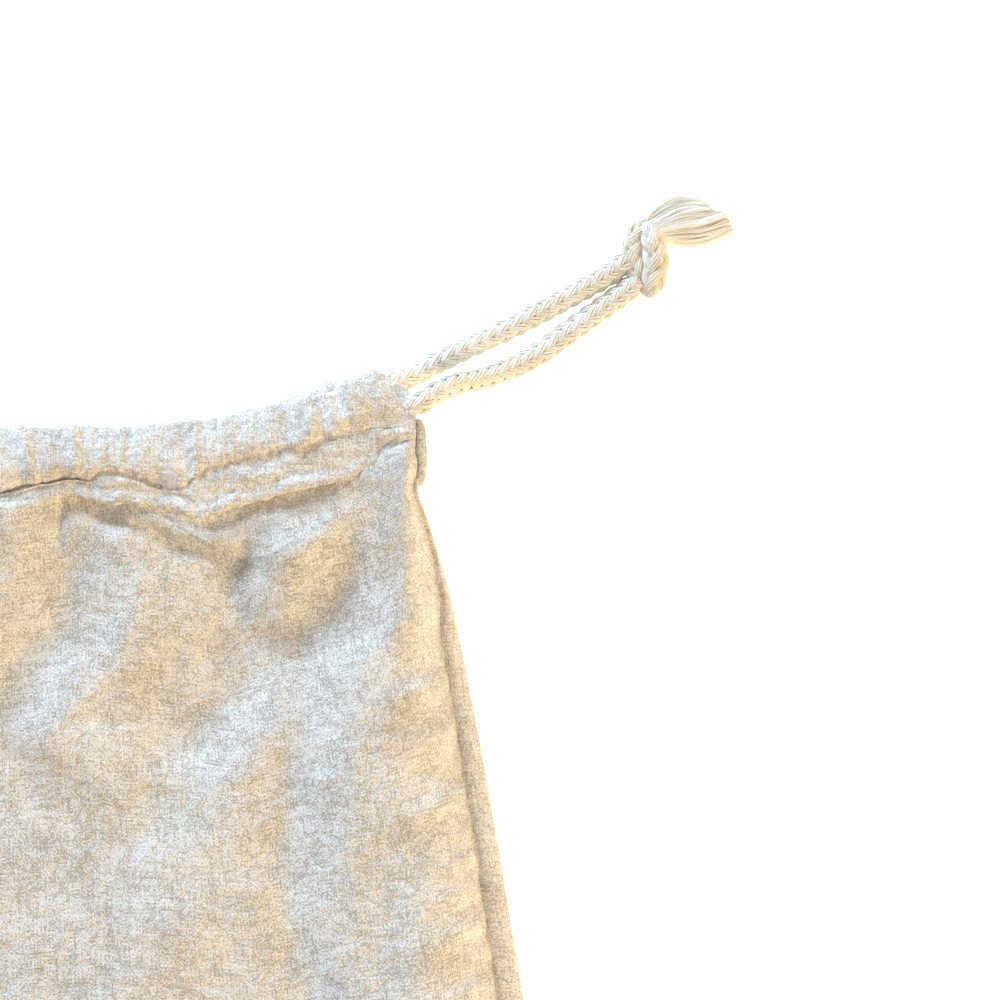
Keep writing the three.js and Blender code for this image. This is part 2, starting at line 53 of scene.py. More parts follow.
# The photographed corner, which is meshed finely, and the spacing of the meshes there and elsewhere
VIEW_CENTRE = (137.3, 171.9)
VIEW_WIDTH = 213
FINE_FROM_X = 26
FINE_FROM_Y = 58
FINE = 0.55
FINE_CHANNEL = 0.32
COARSE = 2.4

# Where the bag ends, how high its sheets lie above the floor, and the cord's lowest height
BAG_BOTTOM = -200
BACK_Z = 0.25
BACK_CHANNEL_Z = 8.4
FRONT_CHANNEL_Z = 16.6
BODY_TOP_Z = 18.0
CORD_FLOOR_Z = 2.9

# Lines along the mouth on the front: the channel's top edge, the crease under the cord, how deep
# that crease is, the crest of the turned edge, and where the cord's crest lies between edge and crease
MOUTH_X, MOUTH_TOP, MOUTH_CREASE, MOUTH_DEPTH, MOUTH_RIDGE, MOUTH_CREST = range(6)
MOUTH = np.array([
    (-119.6, 194.2, 186.6, 0.4, 185.2, 0.56),
    (-114, 197.6, 187.2, 0.8, 183.6, 0.62),
    (-109, 199.8, 187.2, 1.0, 181.4, 0.68),
    (-98, 195.4, 184.6, 1.0, 176.6, 0.74),
    (-84, 191.2, 181.4, 1.4, 172.6, 0.74),
    (-70, 188.6, 177.4, 1.0, 170.4, 0.70),
    (-52, 187.4, 176.2, 2.0, 171.8, 0.72),
    (-30, 187.0, 177.4, 1.2, 170.8, 0.74),
    (-6, 187.2, 175.4, 2.2, 171.4, 0.72),
    (14, 187.1, 176.6, 1.2, 170.6, 0.72),
    (31, 187.2, 173.3, 2.6, 171.2, 0.68),
    (36.5, 187.3, 174.6, 3.0, 172.0, 0.70),
    (43, 187.4, 176.0, 3.0, 173.2, 0.74),
    (46.5, 187.4, 176.4, 2.6, 174.2, 0.75),
    (50.5, 187.4, 176.2, 1.2, 173.0, 0.74),
    (53, 187.5, 178.2, 1.8, 172.5, 0.77),
    (59, 187.7, 177.2, 2.8, 172.2, 0.77),
    (63.5, 188.0, 175.4, 2.6, 171.8, 0.70),
    (67.5, 188.4, 174.2, 1.0, 170.9, 0.66),
    (71, 188.8, 175.6, 0.4, 170.1, 0.66),
    (74.5, 189.0, 178.6, 0.6, 169.4, 0.80),
    (80, 189.6, 180.2, 1.0, 171.3, 0.84),
    (86.7, 191.2, 182.2, 1.2, 173.4, 0.84),
    (96.3, 193.6, 184.0, 1.4, 175.9, 0.80),
    (102, 195.2, 185.8, 0.8, 177.1, 0.74),
    (107.6, 198.4, 186.9, 1.0, 178.8, 0.70),
    (110, 199.8, 187.1, 1.1, 180.2, 0.66),
    (114, 197.9, 187.0, 1.1, 182.5, 0.62),
    (119.4, 194.5, 186.7, 1.0, 184.7, 0.56),
])

# The back channel's top edge, and how far its turned edge lies below it
BACK_MOUTH_X, BACK_MOUTH_TOP = range(2)
BACK_MOUTH = np.array([
    (-110, 196.4), (-104, 197.6), (-90, 193.4), (-75, 189.6), (-60, 187.4), (0, 187.0), (60, 187.4),
    (75, 189.6), (90, 193.4), (104, 197.8), (110, 197.6),
])
BACK_DEPTH = 18.5

# Half of the outline: the seam on the front, the outer edge, and how high the seam stands
SIDE_Y, SIDE_SEAM, SIDE_EDGE, SIDE_Z = range(4)
SIDE = np.array([
    (-200, 147.4, 148.6, 1.8),
    (-150, 146.8, 149.6, 4.4),
    (-70, 145.2, 150.0, 6.4),
    (10, 142.3, 148.0, 7.0),
    (65.4, 136.7, 142.2, 7.2),
    (81.4, 134.3, 139.6, 7.2),
    (97.3, 132.4, 137.0, 7.3),
    (114.4, 129.4, 134.0, 7.4),
    (129.3, 127.1, 131.2, 7.6),
    (142.1, 125.2, 128.6, 8.0),
    (150.6, 124.5, 126.9, 8.8),
    (162.3, 122.4, 123.6, 11.2),
    (169.8, 120.5, 121.2, 15.2),
    (174, 119.2, 119.9, 17.4),
    (188, 119.3, 120.2, 18.4),
    (198, 119.4, 120.4, 18.4),
])

# Height of the front cloth's middle down the bag
CROWN_Y, CROWN_Z = range(2)
CROWN = np.array([
    (-200, 1.8), (-185, 4.8), (-140, 9.9), (-60, 15.2), (40, 17.8), (120, 17.7), (182, 17.2),
])

# How far in from the seams the cloth bows up, less so at the mouth, and how far it follows the channel
EDGE_RUN = 17
MOUTH_EDGE_RUN = 4
EDGE_CHANGE_Y = 115
EDGE_CHANGE_RUN = 60
CHANNEL_RUN = 14

# Folds of the front cloth, each along a line of points from the mouth down. A ridge has a height
# above 0 and a trough below it. The width is the distance over which it falls away on the left, and
# beyond is the distance on the right where that differs. A power below 2 gives a sharper line.
Fold = namedtuple("Fold", "width height points beyond power", defaults=(None, 2))
FRONT_FOLDS = [
    Fold(9, -2, [(45.5, 182), (45, 171), (43.5, 160), (42.6, 150), (40, 141), (36.4, 134), (31, 127),
                 (22, 120), (8, 112)], 7),
    Fold(10, 4.4, [(55.5, 178), (58, 167), (59.5, 155), (60, 146), (56, 138), (49, 130), (42.5, 121.5),
                   (35, 112)], 18, 1.3),
    Fold(8, 4.6, [(33, 182), (30, 164), (26, 150), (20, 138), (7, 126)], 13, 1.3),
    Fold(9, 1.6, [(138, 190), (127, 179), (121, 171), (116, 164)], 9),
    Fold(4.4, 2.2, [(108, 174), (104.5, 169.4), (100, 165), (94, 162.6), (88, 161.6)]),
    Fold(40, -2.6, [(43, 172), (56, 167), (65, 161), (73, 156), (82, 156), (93, 157)], 5.5),
    Fold(1.6, -3.4, [(45, 171.4), (50, 170.2), (57, 167.6), (62, 165.2), (67, 162.8), (72, 160.6),
                     (76, 159.2), (79, 158.4)], 1.3, 1.5),
    Fold(2.4, -2, [(40, 173), (48, 172), (56, 170.4), (64, 169), (70, 167.8), (75, 167.6), (80, 169.8),
                   (85, 171.4), (90, 172.5), (95, 173.8), (102, 176)], 4),
    Fold(3.6, -1, [(85, 163), (79.5, 152), (76.5, 144)]),
    Fold(4.2, 2.8, [(95, 171), (92, 164), (88.5, 155), (86, 148), (84, 142)], 12),
    Fold(6.5, -0.9, [(107, 169), (105.4, 163), (105, 156), (103, 148), (94.5, 140), (81.5, 131.5),
                     (72.5, 122), (67, 112), (61.5, 101), (57, 93), (52, 84)]),
    Fold(23, -3.6, [(104.6, 163), (104.4, 156), (102.8, 148), (94, 139.5), (80.5, 131.5), (72, 122),
                    (66, 111)], 8, 1.5),
    Fold(7, 1.1, [(106, 147), (96, 133), (91, 125), (85, 118), (80, 110), (73, 100), (68, 93), (64, 85),
                  (60, 75), (57, 66), (48, 44)], 18),
    Fold(24, 1.8, [(74, 106), (67, 92), (61, 78), (55, 62), (46, 40)], 30),
    Fold(6, -2.2, [(102, 142), (97, 131), (95.5, 122), (93.5, 112), (92.5, 102), (92.5, 90), (93.5, 78),
                   (98, 50)], 5),
    Fold(8, 2.4, [(124, 192), (120, 175), (117, 160), (113.5, 144), (110.5, 134), (108.5, 122), (107, 112),
                  (107, 101), (107, 90), (109, 76), (112, 50)], 40),
    Fold(5, 1.2, [(124, 98), (121, 88), (118.5, 78), (117, 66), (112, 40)], 14),
    Fold(2.6, -1.2, [(46, 177), (45.6, 172), (45.2, 166), (44.6, 158)], 0.9, 1.6),
    Fold(2.4, 0.9, [(28, 170), (34, 165.5), (39, 160)]),
]
LEFT_FOLDS = [
    Fold(9, 2.4, [(4, 168), (2, 140), (-20, 96)]),
    Fold(8, -2.6, [(-17, 168), (-22, 130), (-48, 66)]),
    Fold(9, 2.6, [(-36, 168), (-42, 136), (-64, 60)]),
    Fold(8, -2.8, [(-62, 168), (-70, 130), (-92, 70)]),
    Fold(9, 2.4, [(-84, 164), (-92, 130), (-108, 60)]),
    Fold(7, -1.8, [(-106, 164), (-112, 138), (-124, 90)]),
    Fold(3, -1.0, [(-9, 172), (-11, 160), (-16, 146)]),
    Fold(3, 0.9, [(-50, 170), (-52, 158), (-58, 142)]),
    Fold(3, -1.0, [(-94, 172), (-98, 160), (-100, 146)]),
    Fold(3, 0.8, [(22, 170), (20, 158), (14, 146)]),
]
LOWER_FOLDS = [
    Fold(16, 2.2, [(60, 20), (22, -40), (-10, -120)]),
    Fold(15, -1.8, [(100, 10), (84, -60), (90, -150)]),
    Fold(16, -2.0, [(-46, 30), (-40, -40), (-62, -130)]),
    Fold(15, 1.8, [(-96, 20), (-88, -60), (-104, -150)]),
    Fold(7, -0.9, [(20, 60), (-8, 10), (-14, -60)]),
    Fold(6, 0.8, [(126, 20), (118, -40), (124, -110)]),
    Fold(7, -0.8, [(-124, 40), (-120, -30), (-126, -100)]),
    Fold(6, 0.8, [(40, -70), (46, -120), (36, -170)]),
]
# How a fold runs out at its ends, the steps of its line, and the widths within which it counts
FOLD_END = 12
FOLD_END_SHARE = 0.4
FOLD_STEPS = 26
FOLD_REACH = 3.4

# Layers of noise over the cloth, with the length of their lumps in x and in y, and ripples along a line
Layer = namedtuple("Layer", "height in_x in_y seed")
Ripple = namedtuple("Ripple", "height length row seed")
FOLD_STRAY = [Layer(1.7, 10, 10, 51), Layer(1.7, 10, 10, 52)]
FOLD_VARIATION = Layer(0.3, 15, 15, 53)
RUMPLE = [Layer(0.45, 14, 14, 54), Layer(0.18, 7, 7, 55)]
WANDER = [Layer(1.3, 6, 6, 1), Layer(1.3, 6, 6, 2)]
PUFFS = Layer(0.5, 4.6, 4.6, 3)
CREASES = Layer(0.5, 2.5, 2.5, 4)
SMALL_WRINKLES = Layer(0.16, 1.5, 1.5, 5)
SEAM_RIPPLES = [Ripple(0.35, 6, 0.5, 41), Ripple(0.2, 2.4, 0.5, 42)]

# Puckers that the side seam draws into the front cloth: how far up the bag they are, how far in they
# reach and how high they stand
PUCKER_Y, PUCKER_REACH, PUCKER_HEIGHT = range(3)
PUCKERS = np.array([
    (161, 5, 0.3), (147, 8, 0.6), (132.5, 14, 1.0), (121.5, 11, 0.9), (108, 12, 1.0), (101, 9, 0.5),
    (95, 9, 0.8), (88.5, 10, 0.9), (80.5, 12, 1.0), (74.5, 9, 0.6), (67.5, 13, 1.0), (60, 8, 0.6),
    (50, 10, 0.8), (40, 8, 0.7), (28, 10, 0.9), (10, 9, 0.8), (-14, 10, 0.8), (-36, 9, 0.7),
    (-62, 10, 0.7), (-90, 9, 0.6), (-118, 9, 0.6), (-146, 8, 0.5),
])
PUCKER = Sizes(width=2.9, slant=0.34, scale=2.5, shift=1.2, start=1.5, run=1.3)

# Creases and rolls of the gathered channel, in plan
CHANNEL_FOLDS = [
    Fold(0.45, -0.5, [(73.2, 194), (72.9, 186), (72.9, 180), (72.4, 174), (71.6, 168)], power=1.4),
    Fold(1.4, -0.9, [(34, 191), (36.8, 182), (40, 174)], power=1.5),
    Fold(1.2, -0.9, [(46, 192), (47.2, 182), (47.6, 175)], power=1.5),
    Fold(1.4, -0.6, [(59.6, 192), (61, 184), (60.5, 178)], power=1.5),
    Fold(1.3, -0.6, [(77.6, 193), (79.4, 188), (81.3, 182)], power=1.5),
    Fold(1.2, -0.6, [(88, 197), (89, 190), (89.8, 185)], power=1.5),
    Fold(1.2, -1.1, [(94.4, 198), (97.2, 192.2), (97.4, 189.7), (97, 185.5), (96, 182)], power=1.5),
    Fold(1.7, -1, [(91.4, 183), (94.6, 184.2), (97.4, 186.2)]),
    Fold(1.2, -1.2, [(97.4, 198), (101, 192.2), (102.7, 189), (105.6, 186)], power=1.5),
    Fold(1.2, -1.3, [(101.4, 199), (104.6, 193.6), (106.6, 190.8), (108, 188)], power=1.5),
    Fold(1.1, -1.1, [(105.6, 188.8), (108.2, 186.9), (110.8, 186.5), (119, 186.2), (124, 186)], 0.9, 1.5),
    Fold(1.1, -1.3, [(102, 199.4), (106.5, 194.4), (110.4, 191)], power=1.5),
    Fold(2.2, 0.7, [(97, 197), (99.6, 191), (100.6, 186)]),
    Fold(2, 0.8, [(99, 198), (104, 190.8), (106.4, 186.6)]),
    Fold(2.4, 0.6, [(105.4, 198), (110, 191), (113, 189), (119, 188.6), (122, 188.6)]),
    Fold(1.5, 0.6, [(98, 187.4), (101, 184.6), (103, 183)]),
    Fold(1.3, -0.6, [(99.6, 188.4), (101.8, 185.6), (104.4, 183.6)], power=1.5),
    Fold(1.4, 0.6, [(82, 179), (88, 180), (93, 181)]),
    Fold(1.2, -0.5, [(79, 175.6), (86, 177.2), (93, 178.4)], power=1.5),
]

# The cord's route: out of the knot, along the front channel, round the left end, back along the
# back channel and into the knot again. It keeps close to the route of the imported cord.
FRONT_CORD_Z = 17.5
BACK_CORD_Z = 4.5
FRONT_END = [
    (167.4, 219.4, 4.6), (163.6, 216.2, 3.4), (158.6, 212.6, CORD_FLOOR_Z),
    (152.4, 208.2, CORD_FLOOR_Z), (146.2, 203.8, CORD_FLOOR_Z), (139.4, 200.2, 3.4),
    (132.6, 197.8, 7.6), (127.4, 196.6, 13.2), (123.4, 194.9, 16.4), (120.4, 192.8, 17.8),
]
FRONT_RUN = [
    (116.4, 191.6), (110, 191.8), (104, 190.8), (96, 188.2), (86, 186.4), (72, 183), (54, 181.9),
    (18, 181.4),
]
LEFT_TURN = [
    (-122, 190.2, FRONT_CORD_Z), (-130, 191.6, 18.2), (-134.4, 193.6, 13.4), (-133.6, 195.8, 8),
    (-127.6, 197.4, BACK_CORD_Z), (-118.4, 197.2, BACK_CORD_Z),
]
BACK_RUN = [(106, 194.2), (90, 189.2), (75, 185.4), (60, 182.9), (20, 182.7)]
BACK_END = [
    (117.2, 198.2, BACK_CORD_Z), (122.4, 200.8, 3.9), (130, 204.6, CORD_FLOOR_Z),
    (138.2, 208.4, CORD_FLOOR_Z), (146.3, 212.6, CORD_FLOOR_Z), (154.4, 217, CORD_FLOOR_Z),
    (160.6, 220.4, 3.4), (165, 223.6, 4.6),
]

# The braid: one turn's length, strands each way, how often each comes over in a turn, its yarns, their
# radius and distance, the strands' middle radius, and how far they weave, round off and bunch up
BRAID = Sizes(pitch=26.4, ways=8, over=4, yarns=3, yarn=0.29, apart=0.5, middle=2.1, wave=0.34,
              round=0.16, bunch=0.35)
BRAID_ROLL = 0.52
BRAID_STEP = 0.6
YARN_SIDES = 5
CORE_RADIUS = 1.5
TUBE_SIDES = 14

# The plain cord inside the channels, and where it comes out of them
HIDDEN = Sizes(radius=1.9, step=2.5, to_x=117.5, to_y=196)

# Large odd numbers that scatter the noise
SCATTER = (374761393, 668265263, 974634777, 1274126177)
NOISE_GAIN = 1.5


def ease(value):
    """A smooth step from 0 to 1."""
    share = np.clip(value, 0, 1)
    return share * share * (3 - 2 * share)


def mix(a, b, share):
    """The value at a share of the way from one to the other."""
    return a + (b - a) * share


def through(table, column, x):
    """A smooth curve through a table's rows, by its first column, that doesn't swing past them."""
    xs, ys = table[:, 0], table[:, column]
    slopes = np.diff(ys) / np.diff(xs)
    both = slopes[:-1] * slopes[1:]
    inner = np.where(both > 0, 2 * both / np.where(both > 0, slopes[:-1] + slopes[1:], 1), 0)
    tangents = np.concatenate([slopes[:1], inner, slopes[-1:]])
    at = np.clip(np.searchsorted(xs, x) - 1, 0, len(xs) - 2)
    width = xs[at + 1] - xs[at]
    t = np.clip((x - xs[at]) / width, 0, 1)
    value = ys[at] * (1 + 2 * t) * (1 - t) ** 2 + ys[at + 1] * t * t * (3 - 2 * t)
    return value + width * (tangents[at] * t * (1 - t) ** 2 + tangents[at + 1] * t * t * (t - 1))


def spline(points, steps):
    """Points along a smooth curve through the given ones, with so many steps between each pair."""
    given = np.asarray(points, dtype=float)
    before = 2 * given[0] - given[1]
    after = 2 * given[-1] - given[-2]
    p = np.concatenate([[before], given, [after]])
    t = (np.arange(steps) / steps).reshape(-1, *([1] * (given.ndim - 1)))
    parts = []
    for i in range(1, len(p) - 2):
        a, b, c, d = p[i - 1], p[i], p[i + 1], p[i + 2]
        parts.append(b + 0.5 * t * (c - a + t * (2 * a - 5 * b + 4 * c - d + t * (3 * (b - c) + d - a))))
    return np.concatenate(parts + [given[-1:]])


def noise(x, y, seed):
    """Smooth noise from about -1 to 1 with one lump to a unit."""
    x, y = np.broadcast_arrays(np.asarray(x, dtype=float), np.asarray(y, dtype=float))
    x0, y0 = np.floor(x).astype(np.int64), np.floor(y).astype(np.int64)
    fx, fy = x - x0, y - y0

    def corner(dx, dy):
        mixed = (x0 + dx) * SCATTER[0] + (y0 + dy) * SCATTER[1] + (seed + SEED) * SCATTER[2]
        mixed = (mixed ^ (mixed >> 13)) * SCATTER[3]
        angle = ((mixed ^ (mixed >> 16)) & 0xFFFF) * (2 * math.pi / 0x10000)
        return np.cos(angle) * (fx - dx) + np.sin(angle) * (fy - dy)

    sx, sy = ease(fx), ease(fy)
    return NOISE_GAIN * mix(mix(corner(0, 0), corner(1, 0), sx), mix(corner(0, 1), corner(1, 1), sx), sy)


def layers_of(x, y, *layers):
    """The sum of layers of noise over the cloth."""
    return sum(layer.height * noise(x / layer.in_x, y / layer.in_y, layer.seed) for layer in layers)


def ripples_of(x, *ripples):
    """The sum of ripples along a line."""
    return sum(ripple.height * noise(x / ripple.length, ripple.row, ripple.seed) for ripple in ripples)


def to_line(line, x, y):
    """Distance to a line of points, the length along it to the nearest place, and which side it is on:
    above 0 is to the right of a line that runs down the bag."""
    nearest = np.full(x.shape, np.inf)
    along = np.zeros(x.shape)
    side = np.zeros(x.shape)
    before = 0.0
    for start, end in zip(line[:-1], line[1:]):
        step = end - start
        length = np.hypot(*step)
        away_x, away_y = x - start[0], y - start[1]
        share = np.clip((away_x * step[0] + away_y * step[1]) / length**2, 0, 1)
        distance = np.hypot(away_x - share * step[0], away_y - share * step[1])
        closer = distance < nearest
        nearest[closer] = distance[closer]
        along[closer] = before + length * share[closer]
        side[closer] = (step[0] * away_y - step[1] * away_x)[closer]
        before += length
    return nearest, along, side


def fold_field(x, y, folds):
    """The height that folds add: soft ridges and troughs that run out at both ends."""
    height = np.zeros(x.shape)
    for fold in folds:
        line = spline(fold.points, max(2, FOLD_STEPS // len(fold.points)))
        total = np.linalg.norm(np.diff(line, axis=0), axis=1).sum()
        beyond = fold.beyond or fold.width
        margin = FOLD_REACH * max(fold.width, beyond)
        inside = (x > line[:, 0].min() - margin) & (x < line[:, 0].max() + margin)
        inside &= (y > line[:, 1].min() - margin) & (y < line[:, 1].max() + margin)
        distance, along, side = to_line(line, x[inside], y[inside])
        taper = ease(np.minimum(along, total - along) / min(FOLD_END, FOLD_END_SHARE * total))
        width = np.where(side > 0, beyond, fold.width)
        height[inside] += fold.height * taper * np.exp(-((distance / width) ** fold.power))
    return height


def uneven_folds(x, y, folds):
    """Folds whose lines stray a little and whose heights vary along them, as in washed cloth."""
    stray_x = x + layers_of(x, y, FOLD_STRAY[0])
    stray_y = y + layers_of(x, y, FOLD_STRAY[1])
    return fold_field(stray_x, stray_y, folds) * (1 + layers_of(x, y, FOLD_VARIATION))


def crinkle(x, y):
    """Small soft wrinkles of washed cotton, from a few millimetres across down."""
    place = x + layers_of(x, y, WANDER[0]), y + layers_of(x, y, WANDER[1])
    puffs = np.abs(layers_of(*place, PUFFS))
    creases = np.abs(layers_of(*place, CREASES))
    return puffs - creases + layers_of(*place, SMALL_WRINKLES)


def graded(low, high, fine_from, fine, coarse):
    """Places from low to high, closely spaced above fine_from."""
    far = np.linspace(low, fine_from, max(2, round((fine_from - low) / coarse)), endpoint=False)
    near = np.linspace(fine_from, high, max(2, round((high - fine_from) / fine)) + 1)
    return np.concatenate([far, near])


def normals_of(points):
    """Unit normals of a grid of points."""
    down = np.gradient(points, axis=0)
    across = np.gradient(points, axis=1)
    normal = np.cross(across, down)
    return normal / np.maximum(np.linalg.norm(normal, axis=-1, keepdims=True), 1e-9)


def mesh_object(name, vertices, faces, uv=None):
    """A smooth mesh object from points in millimetres."""
    mesh = bpy.data.meshes.new(name)
    mesh.from_pydata((np.asarray(vertices) * MM).tolist(), [], np.asarray(faces).tolist())
    mesh.polygons.foreach_set("use_smooth", np.ones(len(mesh.polygons), dtype=bool))
    if uv is not None:
        corners = np.empty(len(mesh.loops), dtype=np.int32)
        mesh.loops.foreach_get("vertex_index", corners)
        layer = mesh.uv_layers.new(name="UVMap")
        layer.data.foreach_set("uv", np.asarray(uv, dtype=np.float32)[corners].ravel())
    mesh.validate()
    piece = bpy.data.objects.new(name, mesh)
    bpy.context.scene.collection.objects.link(piece)
    return piece


def grid_faces(rows, columns, start=0):
    """Quads of a grid whose points run along its rows."""
    first = start + (np.arange(rows - 1)[:, None] * columns + np.arange(columns - 1)).ravel()
    return np.stack([first, first + 1, first + columns + 1, first + columns], axis=1)


def lengths_along(points, axis):
    """Length of the grid's lines from their start, along one axis."""
    steps = np.linalg.norm(np.diff(points, axis=axis), axis=-1)
    start = np.zeros_like(np.take(steps, [0], axis=axis))
    return np.concatenate([start, np.cumsum(steps, axis=axis)], axis=axis)


def cloth_lengths(points):
    """Lengths across and along a cloth at a grid of points, from its middle row and middle column."""
    rows, columns = points.shape[:2]
    u = np.broadcast_to(lengths_along(points[rows // 2 : rows // 2 + 1], 1), (rows, columns))
    v = np.broadcast_to(lengths_along(points[:, columns // 2 : columns // 2 + 1], 0), (rows, columns))
    return np.stack([u, v], axis=-1)


def grid_object(name, points, lengths=None, flip=False):
    """A sheet from a grid of points, with its cloth's own lengths as texture coordinates."""
    faces = grid_faces(*points.shape[:2])
    if flip:
        faces = faces[:, ::-1]
    lengths = cloth_lengths(points) if lengths is None else lengths
    return mesh_object(name, points.reshape(-1, 3), faces, lengths.reshape(-1, 2) * UV_SCALE)


# Front cloth: its start under the turned edge, its rise at the ends of the mouth, and its roll at the seams
MOUTH_HALF = MOUTH[-1, MOUTH_X]
UNDER_EDGE = 0.4
CORNER_RISE = 0.5
SEAM_ROLL = Sizes(reach=0.9, drop=0.25, power=1.5, tuck=1.0)

# Over how far the folds fade out, which is less at the seams near the mouth
FADE = Sizes(seam=6, corner=2, corner_y=150, corner_run=20, bottom=60, top=1.2)

# How strong the small wrinkles are on each sheet, and over how far they fade
CRINKLE = Sizes(body=0.55, channel=0.7, back=0.3, seam=4, bottom=20)

# Stretches over which something comes on. At the ends of the mouth the channel lies lower, then closes,
# and its creases are placed one by one.
Stretch = namedtuple("Stretch", "start run")
CORNER = Stretch(98, 12)
ENDING = Stretch(110, 6)
PLACED = Stretch(92, 6)


def within(value, stretch):
    """A smooth step from 0 to 1 over a stretch."""
    return ease((value - stretch.start) / stretch.run)


def front_columns(fine):
    """Shares across the front, from -1 to 1, closely spaced where the photograph looks."""
    half = SIDE[:, SIDE_SEAM].min()
    return graded(-half, half, FINE_FROM_X, fine, COARSE) / half


def front_rows():
    """Shares down the front, from 0 under the channel to 1 at the bottom."""
    top = MOUTH[:, MOUTH_RIDGE].mean()
    heights = graded(BAG_BOTTOM, top, FINE_FROM_Y, FINE, COARSE)
    return ((top - heights) / (top - BAG_BOTTOM))[::-1]


def seam_x(y):
    """The side seam's distance from the middle, a little uneven."""
    return through(SIDE, SIDE_SEAM, y) + ripples_of(y, *SEAM_RIPPLES)


def body_plan(u, down):
    """Places in plan of the front body's points, from under the turned edge to the bottom."""
    top_x = u * MOUTH_HALF
    top_y = through(MOUTH, MOUTH_RIDGE, top_x) + UNDER_EDGE
    y = mix(top_y, BAG_BOTTOM, down)
    below = top_y - y
    pull = 1 - ease(below / (2 * CHANNEL_RUN))
    x = u * seam_x(y) + pull * (top_x - u * seam_x(top_y))
    return x, y, below


def pucker_field(x, y):
    """Small ridges that run in from the side seams."""
    height = np.zeros(x.shape)
    inwards = seam_x(y) - np.abs(x)
    for row in PUCKERS:
        line_y = row[PUCKER_Y] - PUCKER.slant * inwards + PUCKER.shift * np.sign(x)
        end = ease((inwards - PUCKER.start) / (PUCKER.run * row[PUCKER_REACH]))
        high = PUCKER.scale * row[PUCKER_HEIGHT] * ease(inwards / PUCKER.start) * (1 - end)
        height += high * np.exp(-(((y - line_y) / PUCKER.width) ** 2))
    return height


def body_height(x, y, below):
    """Height of the front body: bowed from seam to seam, with its folds, puckers and wrinkles."""
    inwards = np.maximum(seam_x(y) - np.abs(x), 0)
    seam_z = through(SIDE, SIDE_Z, y)
    crown = np.maximum(through(CROWN, CROWN_Z, y), seam_z)
    run = mix(EDGE_RUN, MOUTH_EDGE_RUN, ease((y - EDGE_CHANGE_Y) / EDGE_CHANGE_RUN))
    bowed = mix(seam_z, crown, np.sin(np.clip(inwards / run, 0, 1) * math.pi / 2))
    start = BODY_TOP_Z + CORNER_RISE * within(np.abs(x), CORNER)
    base = mix(start, bowed, ease(below / CHANNEL_RUN))
    seam_fade = mix(FADE.seam, FADE.corner, ease((y - FADE.corner_y) / FADE.corner_run))
    fade = ease(inwards / seam_fade) * ease((y - BAG_BOTTOM) / FADE.bottom) * ease(below / FADE.top)
    folds = uneven_folds(x, y, FRONT_FOLDS + LEFT_FOLDS + LOWER_FOLDS) + layers_of(x, y, *RUMPLE)
    roll = SEAM_ROLL.drop * (1 - ease(inwards / SEAM_ROLL.reach)) ** SEAM_ROLL.power
    wrinkles = CRINKLE.body * crinkle(x, y)
    wrinkles *= ease(inwards / CRINKLE.seam) * ease((y - BAG_BOTTOM) / CRINKLE.bottom)
    return base + fade * folds + pucker_field(x, y) + wrinkles - roll


def front_body():
    """The front cloth from under the channel to the bottom."""
    u, down = np.meshgrid(front_columns(FINE), front_rows())
    x, y, below = body_plan(u, down)
    z = body_height(x, y, below)
    return grid_object("front_body", np.stack([x, y, z], axis=-1), flip=True)


# Front channel: the steps between its section's points, the point on the cord's crest, the tube over the
# cord, the flat band below and the bead of its turned edge. Corner and ending say how much lower each gets.
SECTION_STEPS = 7
CREST_ROW = 9
TUBE = Sizes(high=4.2, ending=0.25)
BAND_LEAST = 1.6
BAND_EDGE = 0.9
BandLine = namedtuple("BandLine", "high rise corner")
BAND_LINES = [BandLine(3.4, 0.5, 0.3), BandLine(2.9, 0.3, 0.25)]
BEAD = Sizes(high=0.75, half=1.45, groove=1.8, gap=0.5, uneven=0.7, corner=0.4, ending=0.6)
TOP_RIPPLE = Ripple(0.3, 3.4, 0.6, 30)
RIDGE_RIPPLE = Ripple(0.45, 3.2, 0.3, 31)
BEAD_RIPPLES = [Ripple(1, 5, 0.7, 32), Ripple(0.6, 2.2, 0.7, 33)]

# Points round the top edge, each with how far in it is and its share of the tube's height, and points over
# the cord, each with its share of the way to the crest and of that height
TOP_EDGE = [(0.35, 0.14), (0, 0.32), (0.5, 0.5)]
OVER_CORD = [(0.32, 0.7), (0.62, 0.87), (0.88, 0.97)]
Section = namedtuple("Section", "top crease ridge groove crest depth level tube band low bead")

# Pleats, how they lean, and how much weaker they are on the band and at the ends
PLEATS = [Layer(0.68, 5.2, 26, 7), Layer(0.36, 2.3, 14, 8)]
PLEAT_DROP = 0.3
PLEAT_PLACED = 0.6
PLEAT_BAND = 0.12
LEAN = Ripple(0.25, 9, 0.2, 34)
LEAN_Y = 185
CREASE_SCALE = 1.1

# Shares of the section where its outside starts, and where the tube goes over into the band
OUTSIDE = Stretch(0.16, 0.08)
TO_BAND = Stretch(0.5, 0.12)


